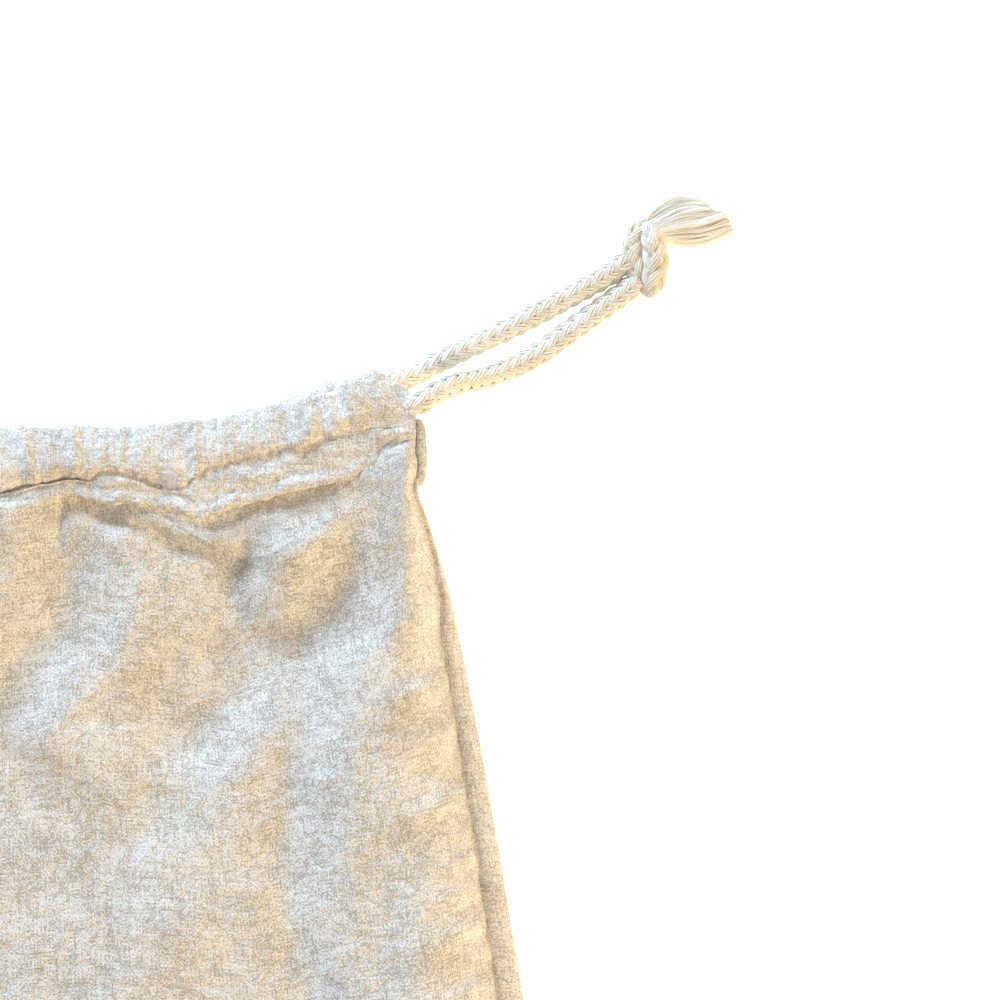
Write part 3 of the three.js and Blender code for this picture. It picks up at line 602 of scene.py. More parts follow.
def channel_lines(x):
    """Lines in plan and heights that the channel's section follows at each x."""
    top = through(MOUTH, MOUTH_TOP, x) + ripples_of(x, TOP_RIPPLE)
    ridge = through(MOUTH, MOUTH_RIDGE, x) + ripples_of(x, RIDGE_RIPPLE)
    crease = np.maximum(through(MOUTH, MOUTH_CREASE, x), ridge + BAND_LEAST)
    groove = np.minimum(ridge + BEAD.groove, crease - BEAD.gap)
    crest, depth = through(MOUTH, MOUTH_CREST, x), through(MOUTH, MOUTH_DEPTH, x)
    level = np.full_like(x, FRONT_CHANNEL_Z)
    corner, ending = within(np.abs(x), CORNER), within(np.abs(x), ENDING)
    tube = TUBE.high * (1 - TUBE.ending * ending)
    band, low = (
        level + np.minimum(line.high, BAND_EDGE + line.rise * (crease - ridge)) * (1 - line.corner * corner)
        for line in BAND_LINES
    )
    bead = BEAD.high * (1 + BEAD.uneven * ripples_of(x, *BEAD_RIPPLES))
    bead = bead * (1 - BEAD.corner * corner) * (1 - BEAD.ending * ending)
    return Section(top, crease, ridge, groove, crest, depth, level, tube, band, low, bead)


def tube_rows(s):
    """The section from under the turned edge, below the cord, round the top edge and over the cord."""
    under = [
        (s.ridge + UNDER_EDGE, s.level),
        (mix(s.ridge, s.crease, 0.7), s.level - 1.1),
        (mix(s.top, s.crease, 0.5), s.level - 1.3),
        (s.top - 1.8, s.level - 0.6),
    ]
    edge = [(s.top - inset, s.level + high * s.tube) for inset, high in TOP_EDGE]
    over = [(mix(s.top, s.crease, share * s.crest), s.level + high * s.tube) for share, high in OVER_CORD]
    return under + edge + over


def band_rows(s):
    """The section from the cord's crest down into the crease, along the band and round the turned edge."""
    half = BEAD.half
    return [
        (mix(s.top, s.crease, mix(s.crest, 1, 0.2)), s.level + 0.95 * s.tube),
        (mix(s.top, s.crease, mix(s.crest, 1, 0.6)), mix(s.band, s.level + s.tube, 0.62)),
        (mix(s.top, s.crease, 0.97), s.band + 0.6 - 0.3 * s.depth),
        (s.crease - 0.2, s.band - 0.55 * s.depth),
        (mix(s.crease, s.groove, 0.4), mix(s.band, s.low, 0.3) + 0.2),
        (mix(s.crease, s.groove, 0.75), mix(s.band, s.low, 0.65) + 0.25),
        (s.groove, s.low + 0.25),
        (s.ridge + 0.75, s.low + 0.85 * s.bead),
        (s.ridge, s.low + s.bead),
        (s.ridge - 0.75, s.low + 0.92 * s.bead),
        (s.ridge - 0.85 * half, s.low + 0.4 * s.bead),
        (s.ridge - half, mix(s.level, s.low, 0.65)),
        (s.ridge - 1.0, mix(s.level, s.low, 0.3)),
        (s.ridge - 0.2, s.level + 0.1),
    ]


def channel_points(x, rows):
    """A grid of points from the rows of a section, which hold a y and a z for each x."""
    section = spline(np.array(rows), SECTION_STEPS)
    y, z = section[:, 0], section[:, 1]
    return np.stack([np.broadcast_to(x, y.shape), y, z], axis=-1)


def gather(x, y):
    """Uneven pleats of the drawn cloth: round puffs with sharp valleys between them."""
    lean = x + (y - LEAN_Y) * ripples_of(x, LEAN)
    high = sum(np.abs(layers_of(lean, y, pleat)) for pleat in PLEATS)
    return (high - PLEAT_DROP) * (1 - PLEAT_PLACED * within(np.abs(x), PLACED))


def front_channel():
    """The channel as a sheet that runs round the cord. Its pleats stand on the side that shows."""
    x = front_columns(FINE_CHANNEL) * MOUTH_HALF
    lines = channel_lines(x)
    points = channel_points(x, tube_rows(lines) + band_rows(lines))
    plan_x, plan_y = points[..., 0], points[..., 1]
    share = np.linspace(0, 1, len(points))[:, None]
    shown = within(share, OUTSIDE)
    tube = shown * (1 - within(share, TO_BAND))
    creases = CREASE_SCALE * fold_field(plan_x, plan_y, CHANNEL_FOLDS)
    arc = lengths_along(points, 0)
    crest = CREST_ROW * SECTION_STEPS
    lengths = np.stack([plan_x, plan_y[crest] - (arc - arc[crest])], axis=-1)
    wrinkles = CRINKLE.channel * crinkle(plan_x, lengths[..., 1])
    lift = shown * (mix(PLEAT_BAND, 1, tube) * gather(plan_x, plan_y) + creases + wrinkles)
    points = points + lift[..., None] * normals_of(points)
    return grid_object("front_channel", points, lengths, flip=True)


# Back cloth: how far below its channel it reaches the floor, its mesh, and the rolled lip at its sides
BACK = Sizes(slope=26, fine=0.8, coarse=3.2, columns=70, overlap=8)
LIP = Sizes(steps=26, over_steps=8, rise=0.5, least=0.8, bottom=40, reach=3.6, crest=0.9, over=0.2,
            dip=0.5, steep=1.5)
LIP_RIPPLE = Ripple(0.4, 4.5, 0.2, 43)

# The back channel's section: the line that a point is measured from, how far up from it, and how high
BACK_SECTION = [
    ("base", 0, 0), ("base", 6, 0), ("top", -4, 0.1), ("top", -1, -1), ("top", 0, -3.6), ("top", -1, -6.2),
    ("top", -4, -7.7), ("top", -7.4, -6.8), ("top", -10, -4), ("top", -13, -2.4), ("base", 2.4, -2.4),
    ("base", 0.8, -3.2), ("base", -0.6, -2.6), ("base", -0.4, -1),
]
BACK_SPACING = (40, 1.0, 2.0)
BACK_PLEAT = Layer(0.3, 4.6, 12, 9)
BACK_INSIDE = Stretch(0.15, 0.2)
BACK_LOWEST = 0.1


def back_lip(y, below):
    """The rolled side of the back cloth at each y: from the floor out, up and over to the seam, where it
    dips under the front's edge. Gives arrays of x and z, one row for each y."""
    base = mix(BACK_CHANNEL_Z, BACK_Z, ease(below / BACK.slope))
    seam, edge = seam_x(y), through(SIDE, SIDE_EDGE, y)
    uneven = (LIP.rise + ripples_of(y, LIP_RIPPLE)) * ease((y - BAG_BOTTOM) / LIP.bottom)
    top = np.maximum(through(SIDE, SIDE_Z, y) + uneven, base + LIP.least)
    radius = (top - base) / 2
    angle = np.linspace(-0.5 * math.pi, 0.5 * math.pi, LIP.steps)
    over = np.maximum(edge - (seam + LIP.crest), LIP.over)
    reach = np.where(angle > 0, over[:, None], np.minimum(radius, LIP.reach)[:, None])
    x_round = edge[:, None] - reach * (1 - np.cos(angle))
    z_round = (base + radius)[:, None] + radius[:, None] * np.sin(angle)
    dip = np.linspace(0, 1, LIP.over_steps + 1)[1:]
    x_over = mix(x_round[:, -1:], (seam - SEAM_ROLL.tuck)[:, None], dip)
    z_over = top[:, None] - SEAM_ROLL.drop * ease(LIP.steep * dip) - LIP.dip * dip
    return np.concatenate([x_round, x_over], axis=1), np.concatenate([z_round, z_over], axis=1)


def back_body():
    """The back cloth from lip to lip, flat on the floor between them."""
    top_y = through(BACK_MOUTH, BACK_MOUTH_TOP, np.array([0.0]))[0] - BACK_DEPTH
    heights = graded(BAG_BOTTOM, top_y + BACK.overlap, FINE_FROM_Y, BACK.fine, BACK.coarse)[::-1]
    below = np.maximum(top_y - heights, 0)
    lip_x, lip_z = back_lip(heights, below)
    flat = np.linspace(-1, 1, BACK.columns)[1:-1]
    flat_x = flat[None, :] * lip_x[:, :1]
    flat_z = np.broadcast_to(lip_z[:, :1], flat_x.shape)
    x = np.concatenate([-lip_x[:, ::-1], flat_x, lip_x], axis=1)
    z = np.concatenate([lip_z[:, ::-1], flat_z, lip_z], axis=1)
    y = np.broadcast_to(heights[:, None], x.shape)
    return grid_object("back_body", np.stack([x, y, z], axis=-1))


def back_channel():
    """The back's channel, with its turned edge underneath."""
    x = graded(*BACK_MOUTH[[0, -1], BACK_MOUTH_X], *BACK_SPACING)
    top = through(BACK_MOUTH, BACK_MOUTH_TOP, x)
    lines = {"top": top, "base": top - BACK_DEPTH}
    rows = [(lines[line] + up, np.full_like(x, BACK_CHANNEL_Z + high)) for line, up, high in BACK_SECTION]
    points = channel_points(x, rows)
    plan_x, plan_y = points[..., 0], points[..., 1]
    lift = layers_of(plan_x, plan_y, BACK_PLEAT) + CRINKLE.back * crinkle(plan_x, plan_y)
    inside = within(np.linspace(0, 1, len(points)), BACK_INSIDE)[:, None]
    points = points + (inside * lift)[..., None] * normals_of(points)
    points[..., 2] = np.maximum(points[..., 2], BACK_LOWEST)
    return grid_object("back_channel", points)


# The narrow hem of the slit where the back cloth meets the channel's end
SLIT_HEM = [
    (119.7, 189.5, 17.4), (120.3, 186.5, 17.2), (120.5, 181.5, 16.2), (120.3, 177.5, 15.2),
    (119.7, 174.2, 14.2),
]
SLIT = Sizes(half=1.3, high=0.9, step=0.5, sides=25, power=8, least=0.02, pull=0.4)
SLIT_RIPPLE = Ripple(0.08, 1 / 9, 0.5, 21)


def slit_hem(side):
    """A rolled edge beside the channel's end, on the right with side 1 and on the left with -1."""
    line = resampled(spline(SLIT_HEM, 8), SLIT.step)
    share = np.linspace(0, 1, len(line))
    full = np.sqrt(np.clip(1 - (2 * share - 1) ** SLIT.power, SLIT.least, 1))
    angle = np.linspace(0, 2 * math.pi, SLIT.sides)
    half = SLIT.half * full * (1 + ripples_of(share, SLIT_RIPPLE))
    x = line[:, :1] + half[:, None] * np.cos(angle)
    z = line[:, 2:] + (SLIT.high * full)[:, None] * np.sin(angle)
    pulled = SLIT.pull * (full - 1) * np.sign(0.5 - share)
    y = np.broadcast_to(line[:, 1:2], x.shape) + pulled[:, None]
    points = np.stack([side * x, y, z], axis=-1)
    return grid_object("slit_hem_right" if side > 0 else "slit_hem_left", points, flip=side > 0)


# Cord
def resampled(points, step):
    """Points at even distances along a line."""
    lengths = lengths_along(points, 0)
    at = np.linspace(0, lengths[-1], max(2, round(lengths[-1] / step) + 1))
    return np.stack([np.interp(at, lengths, points[:, axis]) for axis in range(3)], axis=1)


def frames_along(points):
    """Tangents and two steady normals along a line."""
    tangents = np.gradient(points, axis=0)
    tangents /= np.linalg.norm(tangents, axis=1, keepdims=True)
    first = np.empty_like(points)
    side = np.cross(tangents[0], (0.0, 0.0, 1.0))
    first[0] = side / np.linalg.norm(side)
    for i in range(1, len(points)):
        turned = first[i - 1] - tangents[i] * (first[i - 1] @ tangents[i])
        first[i] = turned / np.linalg.norm(turned)
    return tangents, first, np.cross(tangents, first)


def cord_route():
    """The cord's whole centreline, in order from the front end to the back end."""
    front = [(x, y, FRONT_CORD_Z) for x, y in FRONT_RUN]
    front += [(-x, y, FRONT_CORD_Z) for x, y in reversed(FRONT_RUN)]
    back = [(-x, y, BACK_CORD_Z) for x, y in BACK_RUN]
    back += [(x, y, BACK_CORD_Z) for x, y in reversed(BACK_RUN)]
    return resampled(spline(FRONT_END + front + LEFT_TURN + back + BACK_END, 12), BRAID_STEP)


Part = namedtuple("Part", "vertices faces uv")


def tubes(lines, radii, sides, axis=None):
    """Tubes along many lines at once. A radius may differ from tube to tube and from point to point."""
    count, length = lines.shape[:2]
    tangents = np.gradient(lines, axis=1)
    tangents /= np.linalg.norm(tangents, axis=-1, keepdims=True)
    first = np.broadcast_to((0.0, 0.0, 1.0), lines.shape) if axis is None else axis
    first = first - tangents * np.sum(first * tangents, axis=-1, keepdims=True)
    first /= np.maximum(np.linalg.norm(first, axis=-1, keepdims=True), 1e-9)
    second = np.cross(tangents, first)
    angle = np.arange(sides) * (2 * math.pi / sides)
    radii = np.broadcast_to(radii, (count, length))[..., None, None]
    ring = np.cos(angle)[:, None] * first[..., None, :] + np.sin(angle)[:, None] * second[..., None, :]
    vertices = (lines[..., None, :] + radii * ring).reshape(-1, 3)
    one = np.arange(length - 1)[:, None] * sides + np.arange(sides)
    other = np.arange(length - 1)[:, None] * sides + (np.arange(sides) + 1) % sides
    faces = np.stack([one, other, other + sides, one + sides], axis=-1).reshape(-1, 4)
    starts = np.arange(count) * length * sides
    faces = (starts[:, None, None] + faces).reshape(-1, 4)
    along = np.broadcast_to(lengths_along(lines, 1)[..., None], (count, length, sides))
    around = np.broadcast_to(np.arange(sides) / sides, (count, length, sides))
    uv = np.stack([around, along * UV_SCALE], axis=-1).reshape(-1, 2)
    return Part(vertices, faces, uv)


def braid(path, shape, swell=1.0, roll=0.0):
    """The yarns of a round braid along a path: strands each way that pass over and under each other.
    The yarns of a strand lie side by side where it is on top and bunch up where it goes under."""
    tangents, first, second = frames_along(path)
    s = np.arange(len(path)) * np.linalg.norm(path[1] - path[0])
    turn = 2 * math.pi * s / shape.pitch
    middle = shape.middle * np.broadcast_to(swell, s.shape)
    slope = np.arctan(2 * math.pi * middle / shape.pitch)
    lines, axes = [], []
    shares = np.linspace(-1, 1, shape.yarns)
    half = shape.apart * (shape.yarns - 1) / 2
    for way in (1, -1):
        for strand in range(shape.ways):
            around = strand * 2 * math.pi / shape.ways + way * turn
            wave = way * np.cos(shape.over * around)
            aside = half * (1 - shape.bunch * (1 - wave) / 2)
            for share in shares:
                offset = share * aside
                angle = roll + around + way * offset * np.cos(slope) / middle
                radius = middle + shape.wave * wave - shape.round * share**2
                outward = np.cos(angle)[:, None] * first + np.sin(angle)[:, None] * second
                back = (offset * np.sin(slope))[:, None] * tangents
                lines.append(path + radius[:, None] * outward - back)
                axes.append(outward)
    return tubes(np.array(lines), shape.yarn, YARN_SIDES, np.array(axes))


def joined(name, parts):
    """One mesh object from several parts."""
    vertices, faces, uv, start = [], [], [], 0
    for part in parts:
        vertices.append(part.vertices)
        faces.append(part.faces + start)
        uv.append(part.uv)
        start += len(part.vertices)
    return mesh_object(name, np.concatenate(vertices), np.concatenate(faces), np.concatenate(uv))


def drawstring(route):
    """The cord: braided where it shows, and plain inside the channels."""
    shown = (np.abs(route[:, 0]) > HIDDEN.to_x) | (route[:, 1] > HIDDEN.to_y)
    edges = np.flatnonzero(np.diff(shown.astype(int))) + 1
    parts = []
    for stretch in np.split(np.arange(len(route)), edges):
        path = route[stretch]
        if shown[stretch[0]]:
            parts.append(braid(path, BRAID, roll=BRAID_ROLL if parts else -BRAID_ROLL))
            parts.append(tubes(path[None, ::2], CORE_RADIUS, TUBE_SIDES))
        else:
            wide = route[max(stretch[0] - 2, 0) : stretch[-1] + 3]
            parts.append(tubes(resampled(wide, HIDDEN.step)[None], HIDDEN.radius, TUBE_SIDES))
    return joined("braided_cord", parts)


# Knot: the tied cords drawn tight into two lobes, each along a line from its top to its bottom
KNOT_X, KNOT_Y, KNOT_Z, KNOT_HALF = range(4)
LEFT_LOBE = np.array([
    (169.2, 231.8, 4.6, 0.6),
    (168.0, 231.2, 4.6, 1.7),
    (166.7, 229.4, 4.5, 2.6),
    (165.9, 227.0, 4.4, 3.0),
    (165.9, 224.2, 4.3, 3.0),
    (166.8, 221.6, 4.2, 2.8),
    (168.2, 219.4, 4.0, 2.2),
    (169.0, 218.0, 3.8, 0.8),
])
RIGHT_LOBE = np.array([
    (168.2, 231.2, 5.4, 0.7),
    (168.9, 230.2, 5.6, 2.0),
    (169.9, 227.9, 5.7, 2.8),
    (170.6, 225.0, 5.6, 3.1),
    (170.6, 221.8, 5.3, 3.1),
    (170.1, 219.2, 5.0, 3.0),
    (169.6, 217.4, 4.7, 2.6),
    (169.3, 216.2, 4.5, 1.7),
    (169.2, 215.6, 4.4, 0.6),
])
KNOT_BRAID = Sizes(pitch=24, ways=6, over=3, yarns=4, yarn=0.28, apart=0.46, middle=1, wave=0.26,
                   round=0.16, bunch=0.35)
KNOT = Sizes(roll=0.4, step=0.35, yarns_in=0.5, least=0.3, core_in=0.25, core_sides=24)


def lobe(table):
    """One lobe of the knot: a lump of braided yarns over a plain core."""
    line = spline(table, 12)
    place = line[:, [KNOT_X, KNOT_Y, KNOT_Z]]
    along = lengths_along(place, 0)
    path = resampled(place, KNOT.step)
    half = np.interp(np.linspace(0, along[-1], len(path)), along, line[:, KNOT_HALF])
    inner = np.maximum(half - KNOT.yarns_in, KNOT.least)
    core = tubes(path[None], inner[None] - KNOT.core_in, KNOT.core_sides)
    return [braid(path, KNOT_BRAID, inner, KNOT.roll), core]


def knot():
    return joined("cord_knot", lobe(LEFT_LOBE) + lobe(RIGHT_LOBE))


# Frayed end: lines that its yarns follow from the knot to their tips, from its upper edge to its lower
# one, then stray yarns, and each layer's number of yarns and how far down it lies
FRAY_GUIDES = np.array([
    [(167.9, 231.2), (171.4, 234.8), (175.6, 236.8), (179.2, 236.5), (182.2, 235.8)],
    [(168.8, 230.6), (174.7, 234.2), (178.4, 235.2), (180.6, 235.1), (182.8, 234.9)],
    [(169.2, 229.8), (175.7, 232.8), (179.6, 233.6), (181.6, 233.9), (183.4, 234.1)],
    [(169.6, 229.2), (175.8, 230.9), (180.0, 231.5), (184.1, 232.9), (186.0, 233.9)],
    [(169.8, 228.6), (175.9, 229.8), (181.0, 230.3), (185.1, 231.8), (187.2, 232.5)],
    [(170.0, 228.2), (174.9, 227.9), (179.0, 227.7), (183.1, 228.7), (187.6, 230.8)],
    [(170.0, 227.8), (175.6, 226.8), (179.0, 226.6), (183.1, 227.5), (187.7, 229.7)],
])
FRAY_STRAYS = [
    [(168.2, 231.6, 5.4), (168.6, 233.6, 5.8), (169.4, 235.2, 5.8), (170.3, 236.4, 5.6)],
    [(168.6, 231.8, 5.6), (170.8, 234.8, 6.2), (173.4, 236.5, 6.0), (176.4, 237.4, 5.6)],
    [(171.4, 227.6, 4.4), (172.8, 226.6, 4.2), (173.8, 226.2, 3.8), (174.6, 226.0, 3.4)],
]
FRAY_LAYERS = [(20, 0.0), (19, -0.9), (17, -1.8), (12, -2.7)]
FRAY_STEPS = 20
STRAY = Sizes(radius=0.2, sides=6)
FIBRE = Sizes(radius=0.07, sides=4, count=26, raised=0.4, spread=(0.8, 0.5, 0.1))

# The yarns, and how they vary in length and place, wave, lie in a dome, scatter and thin out at their tips
FRAY = Sizes(radius=0.38, sides=8, shortest=0.9, jitter=0.25, wave=0.14, waves=(5, 9), dome=1.5,
             flatter=0.4, root_z=5.0, tip_z=2.6, scatter=0.35, lowest=0.1, thin=0.6)
FRAY_TIP = Stretch(0.9, 0.1)


def fray_lines(shares, lowered, rng):
    """Lines of yarns at shares of the way from the upper edge to the lower one, in one layer."""
    guides = np.array([spline(guide, 8) for guide in FRAY_GUIDES])
    each = (len(shares), 1)
    at = shares * (len(guides) - 1)
    first = np.clip(at.astype(int), 0, len(guides) - 2)
    plan = mix(guides[first], guides[first + 1], (at - first)[:, None, None])
    t = np.linspace(0, 1, plan.shape[1])
    ends = rng.uniform(FRAY.shortest, 1.0, each) * np.linspace(0, 1, FRAY_STEPS)
    x, y = (
        np.array([np.interp(end, t, line) for end, line in zip(ends, plan[..., axis])]) for axis in (0, 1)
    )
    phase = rng.uniform(0, 2 * math.pi, each)
    wave = FRAY.wave * np.sin(phase + ends * rng.uniform(*FRAY.waves, each))
    dome = FRAY.dome * (1 - (2 * shares - 1) ** 2)[:, None] * (1 - FRAY.flatter * ends)
    scatter = FRAY.scatter * rng.normal(size=each) * ends
    z = mix(FRAY.root_z, FRAY.tip_z, ends) + dome + lowered + scatter
    return np.stack([x, y + wave, np.maximum(z, FRAY.radius + FRAY.lowest)], axis=-1)


def frayed_end():
    """Yarns in layers, a few strays and loose fibres."""
    rng = np.random.default_rng(SEED)
    layers = []
    for count, lowered in FRAY_LAYERS:
        jitter = rng.uniform(-FRAY.jitter, FRAY.jitter, count)
        layers.append(fray_lines((np.arange(count) + 0.5 + jitter) / count, lowered, rng))
    t = np.linspace(0, 1, FRAY_STEPS)
    fibres = fray_lines(rng.uniform(0, 1, FIBRE.count), FIBRE.raised, rng)
    spread = rng.normal(size=(FIBRE.count, 1, 3)) * FIBRE.spread
    fibres = fibres + t[None, :, None] * spread
    strays = np.array([spline(stray, 6) for stray in FRAY_STRAYS])
    thickness = FRAY.radius * (1 - FRAY.thin * within(t, FRAY_TIP))
    parts = [
        tubes(np.concatenate(layers), thickness, FRAY.sides),
        tubes(fibres, FIBRE.radius, FIBRE.sides),
        tubes(strays, STRAY.radius, STRAY.sides),
    ]
    return joined("tassel", parts)


# Materials. A tone or a relief is a sum of noises with these weights.
THREADS = 220
THREAD_WANDER = (0.01, 0.01, 0.0)
CLOTH_COLOUR = (0.95, 0.90, 0.82, 1)
CLOTH_DARK = (0.47, 0.42, 0.35, 1)
FLECK_COLOUR = (0.20, 0.13, 0.07, 1)
SLUB_STRETCHES = [(14, 300, 1), (300, 14, 1)]
CLOTH_TONE = {"slub": 0.4, "grain": 1.3, "patch": 0.6}
CLOTH_RELIEF = {"weave": 0.05, "slub": 0.12, "crumple": 0.5, "grain": 0.06}
CLOTH_BUMP = 0.0006
CLOTH_SURFACE = {"Sheen Weight": 0.12, "Sheen Roughness": 0.5, "Specular IOR Level": 0.15}
CORD_LIGHT = (1.0, 0.985, 0.93, 1)
CORD_DARK = (0.88, 0.81, 0.66, 1)
KNOT_LIGHT = (1, 0.965, 0.89, 1)
KNOT_DARK = (0.86, 0.76, 0.57, 1)
FRAY_DARK = (0.95, 0.89, 0.75, 1)
YARN_TONE = {"fibres": 1, "patches": 0.8}
YARN_RELIEF = {"ply": 0.12, "fibres": 1}
YARN_BUMP = 0.0002
YARN_SURFACE = {"Sheen Weight": 0.1, "Sheen Roughness": 0.5, "Specular IOR Level": 0.2}
FLOOR_SURFACE = {
    "Base Color": (0.8, 0.8, 0.8, 1),
    "Roughness": 0.9,
    "Specular IOR Level": 0.0,
    "Emission Color": (1, 1, 1, 1),
    "Emission Strength": 0.75,
}


def new_material(name, surface):
    """A material with fixed values on its shader's own sockets."""
    material = bpy.data.materials.new(name)
    material.use_nodes = True
    tree = material.node_tree
    shader = tree.nodes["Principled BSDF"]
    for socket, value in surface.items():
        shader.inputs[socket].default_value = value
    return material, tree, shader


def add(tree, kind, inputs=None, **settings):
    """A node with its settings and inputs: an input is a value or another node's output."""
    made = tree.nodes.new(kind)
    for name, value in settings.items():
        setattr(made, name, value)
    for name, value in (inputs or {}).items():
        if isinstance(value, bpy.types.NodeSocket):
            tree.links.new(value, made.inputs[name])
        else:
            made.inputs[name].default_value = value
    return made


def math_node(tree, operation, first, second=0.0):
    return add(tree, "ShaderNodeMath", {0: first, 1: second}, operation=operation).outputs[0]


def noise_node(tree, place, scale, detail=2.0, stretch=None, rough=0.5):
    """Noise at a scale, stretched along one direction where asked."""
    if stretch is not None:
        place = add(tree, "ShaderNodeMapping", {"Vector": place, "Scale": stretch}).outputs[0]
    inputs = {"Vector": place, "Scale": scale, "Detail": detail, "Roughness": rough}
    return add(tree, "ShaderNodeTexNoise", inputs).outputs["Fac"]


def ranged(tree, value, low, high, to_low, to_high):
    inputs = {"Value": value, "From Min": low, "From Max": high, "To Min": to_low, "To Max": to_high}
    return add(tree, "ShaderNodeMapRange", inputs).outputs[0]


def blended(tree, share, first, second):
    inputs = {"Factor": share, 6: first, 7: second}
    return add(tree, "ShaderNodeMix", inputs, data_type="RGBA").outputs[2]


def weighted(tree, values, weights):
    """A sum of values with their weights."""
    terms = [math_node(tree, "MULTIPLY", values[name], weight) for name, weight in weights.items()]
    total = terms[0]
    for term in terms[1:]:
        total = math_node(tree, "ADD", total, term)
    return total


def connect(tree, shader, colour, roughness, height, strength, distance):
    """Links a colour, a roughness and a bump of some height to the shader."""
    bump = add(tree, "ShaderNodeBump", {"Height": height, "Strength": strength, "Distance": distance})
    tree.links.new(colour, shader.inputs["Base Color"])
    tree.links.new(roughness, shader.inputs["Roughness"])
    tree.links.new(bump.outputs[0], shader.inputs["Normal"])


def sine_of(tree, value, turns):
    return math_node(tree, "SINE", math_node(tree, "MULTIPLY", value, turns))


def weave_of(tree, uv):
    """Crossing threads that wander a little."""
    inputs = {0: THREAD_WANDER, "Scale": noise_node(tree, uv, 9.0)}
    slight = add(tree, "ShaderNodeVectorMath", inputs, operation="SCALE").outputs[0]
    place = add(tree, "ShaderNodeVectorMath", {0: uv, 1: slight}, operation="ADD").outputs[0]
    split = add(tree, "ShaderNodeSeparateXYZ", {0: place}).outputs
    return math_node(tree, "MULTIPLY", *(sine_of(tree, split[i], math.pi * THREADS) for i in (0, 1)))


def cloth_colour(tree, uv, noises, contrast):
    """Natural cotton, darker in its thin places, with painted shade along fine wrinkles and flecks of seed
    coat.
    """
    # Painted shade: thin dark lines along a noise of fine wrinkles stand in for the shade in their creases
    wrinkles = math_node(tree, "SUBTRACT", noise_node(tree, uv, 26.0, 2.5), 0.5)
    lines = ranged(tree, math_node(tree, "ABSOLUTE", wrinkles), 0.0, 0.07, 0.12, 0.0)
    tone = math_node(tree, "SUBTRACT", weighted(tree, noises, CLOTH_TONE), lines)
    colour = blended(tree, ranged(tree, tone, 1.10, 1.50, contrast, 0.0), CLOTH_COLOUR, CLOTH_DARK)
    flecks = ranged(tree, noise_node(tree, uv, 120.0, 1.0), 0.765, 0.80, 0.0, 0.75)
    return blended(tree, flecks, colour, FLECK_COLOUR)


def cloth_material(name, relief, contrast):
    """Plain-woven cotton with threads of uneven thickness."""
    material, tree, shader = new_material(name, CLOTH_SURFACE)
    uv = add(tree, "ShaderNodeUVMap", uv_map="UVMap").outputs[0]
    slubs = [noise_node(tree, uv, 1.0, stretch=stretch) for stretch in SLUB_STRETCHES]
    noises = {
        "weave": weave_of(tree, uv),
        "slub": math_node(tree, "ADD", *slubs),
        "patch": noise_node(tree, uv, 8.0, 4.0, rough=0.85),
        "grain": noise_node(tree, uv, 240.0),
        "crumple": noise_node(tree, uv, 44.0, 1.5),
    }
    colour = cloth_colour(tree, uv, noises, contrast)
    roughness = ranged(tree, noises["grain"], 0.3, 0.7, 0.82, 0.97)
    connect(tree, shader, colour, roughness, weighted(tree, noises, CLOTH_RELIEF), relief, CLOTH_BUMP)
    return material


def yarn_material(name, light, dark, turns):
    """Twisted cotton yarn: fine slanting fibres round each yarn, with paler and darker lengths."""
    material, tree, shader = new_material(name, YARN_SURFACE)
    uv = add(tree, "ShaderNodeUVMap", uv_map="UVMap").outputs[0]
    split = add(tree, "ShaderNodeSeparateXYZ", {0: uv}).outputs
    slant = math_node(tree, "ADD", split[0], math_node(tree, "MULTIPLY", split[1], turns))
    place = add(tree, "ShaderNodeTexCoord").outputs["Object"]
    noises = {
        "ply": sine_of(tree, slant, 4 * math.pi),
        "fibres": noise_node(tree, place, 2600.0),
        "patches": noise_node(tree, place, 260.0),
    }
    tone = ranged(tree, weighted(tree, noises, YARN_TONE), 0.7, 1.15, 1.0, 0.0)
    roughness = ranged(tree, noises["fibres"], 0.3, 0.7, 0.75, 0.95)
    height = weighted(tree, noises, YARN_RELIEF)
    connect(tree, shader, blended(tree, tone, light, dark), roughness, height, 0.6, YARN_BUMP)
    return material


# Scene
CAMERA = Sizes(lens=200, sensor=36, focus_z=14, clip_end=20)
Light = namedtuple("Light", "name place size power colour")
LIGHTS = [
    Light("soft_top", (-0.1, 0.15, 1.8), 1.6, 10.2, (1.0, 0.965, 0.93)),
    Light("cool_key", (-2.02, 3.1, 1.35), 1.6, 206, (0.585, 0.775, 1.0)),
    Light("warm_fill", (3.1, -2.02, 1.35), 1.6, 136, (1.0, 0.765, 0.42)),
]
LIGHT_CENTRE = (0.08, 0.12, 0.01)
WORLD_COLOUR = (1.0, 0.96, 0.91, 1)
WORLD_STRENGTH = 0.165
FLOOR_HALF = 3000


def aim(thing, target):
    """Turns a light or camera so that it looks at a place."""
    direction = np.array(target) - np.array(thing.location)
    yaw = math.atan2(direction[1], direction[0]) - math.pi / 2
    tilt = math.atan2(-direction[2], math.hypot(direction[0], direction[1]))
    thing.rotation_euler = (math.pi / 2 - tilt, 0, yaw)


def make_camera():
    data = bpy.data.cameras.new("camera")
    data.lens = CAMERA.lens
    data.sensor_width = CAMERA.sensor
    data.clip_end = CAMERA.clip_end
    camera = bpy.data.objects.new("camera", data)
    distance = VIEW_WIDTH * CAMERA.lens / CAMERA.sensor
    camera.location = (VIEW_CENTRE[0] * MM, VIEW_CENTRE[1] * MM, (distance + CAMERA.focus_z) * MM)
    bpy.context.scene.collection.objects.link(camera)
    bpy.context.scene.camera = camera


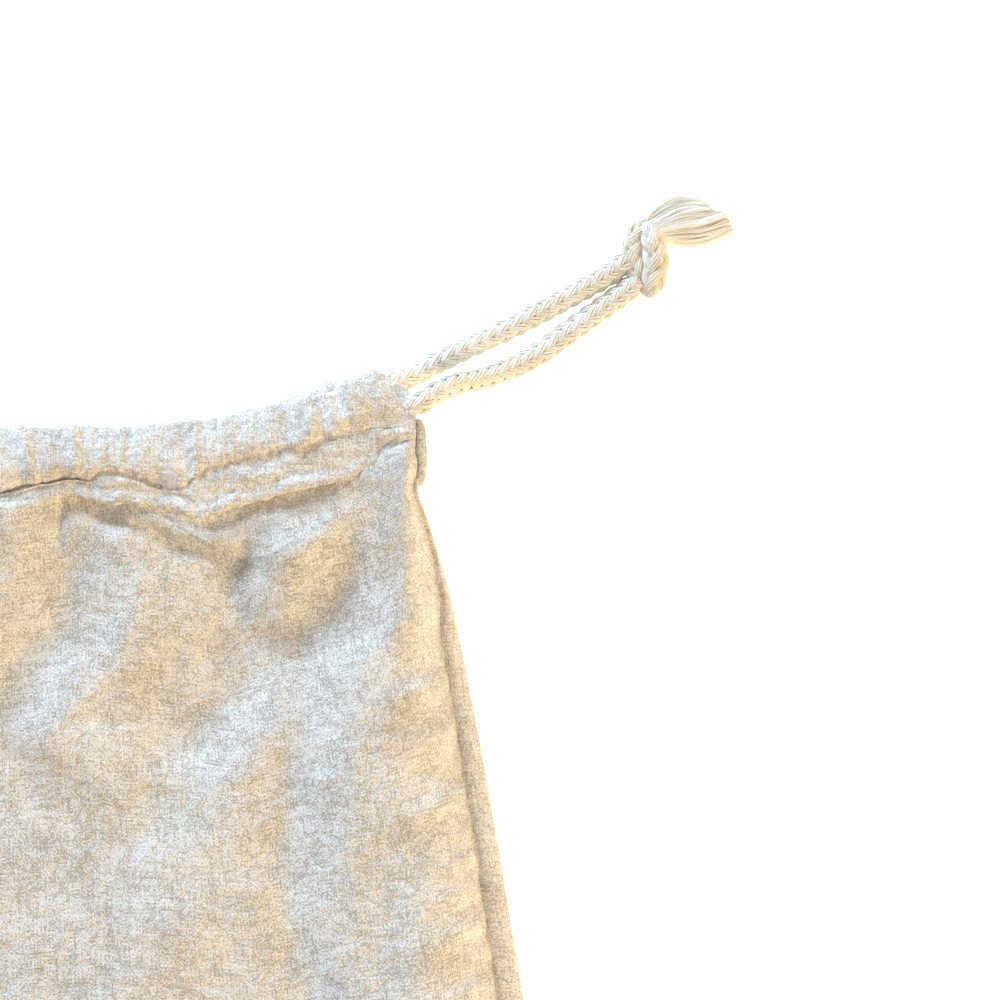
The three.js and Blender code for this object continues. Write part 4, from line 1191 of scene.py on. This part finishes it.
def make_lights():
    for light in LIGHTS:
        data = bpy.data.lights.new(light.name, "AREA")
        data.size = light.size
        data.energy = light.power
        data.color = light.colour
        lamp = bpy.data.objects.new(light.name, data)
        lamp.location = np.array(LIGHT_CENTRE) + np.array(light.place)
        aim(lamp, LIGHT_CENTRE)
        bpy.context.scene.collection.objects.link(lamp)
    world = bpy.data.worlds.new("studio")
    world.use_nodes = True
    background = world.node_tree.nodes["Background"]
    background.inputs["Color"].default_value = WORLD_COLOUR
    background.inputs["Strength"].default_value = WORLD_STRENGTH
    bpy.context.scene.world = world


def make_floor():
    """A pale floor that glows a little, so that it stays near white under soft light."""
    half = FLOOR_HALF
    corners = [(-half, -half, 0), (half, -half, 0), (half, half, 0), (-half, half, 0)]
    floor = mesh_object("floor", corners, [(0, 1, 2, 3)])
    floor.data.materials.append(new_material("pale_floor", FLOOR_SURFACE)[0])


def dress(piece, material, slot, *nodes):
    """Gives a piece its material and puts it in place of its solids. The slot is not used."""
    piece.data.materials.append(material)
    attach(piece, "root")
    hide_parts(*nodes)


def dress_cloth():
    """The front cloth, its channel, the back cloth, its channel and the two hems."""
    cloth = cloth_material("cotton_cloth", relief=0.8, contrast=1.0)
    gathered = cloth_material("gathered_cotton_cloth", relief=0.5, contrast=0.9)
    body, channel = front_body(), front_channel()
    back, back_tube = back_body(), back_channel()
    dress(body, cloth, "cotton_cloth", "front_panel")
    dress(channel, gathered, "cotton_cloth", "front_panel")
    hems = [slit_hem(1), slit_hem(-1)]
    for piece in (back, back_tube, *hems):
        dress(piece, cloth, "cotton_cloth", "back_panel")
    return body, channel, back, back_tube, hems


def dress_cord():
    """The cord with its knot and frayed end."""
    route = cord_route()
    cord = drawstring(route)
    dress(cord, yarn_material("cotton_cord", CORD_LIGHT, CORD_DARK, 6), "cotton_cord", "drawstring")
    tied = knot()
    dress(tied, yarn_material("worn_cotton_cord", KNOT_LIGHT, KNOT_DARK, 6), "cotton_cord", "knot")
    tassel = frayed_end()
    dress(tassel, yarn_material("cotton_yarn", CORD_LIGHT, FRAY_DARK, 5), "cotton_yarn", "frayed_end")


def main():
    make_camera()
    make_lights()
    make_floor()
    bpy.context.scene.view_settings.view_transform = "Standard"
    body, channel, back, back_tube, hems = dress_cloth()
    dress_cord()


main()
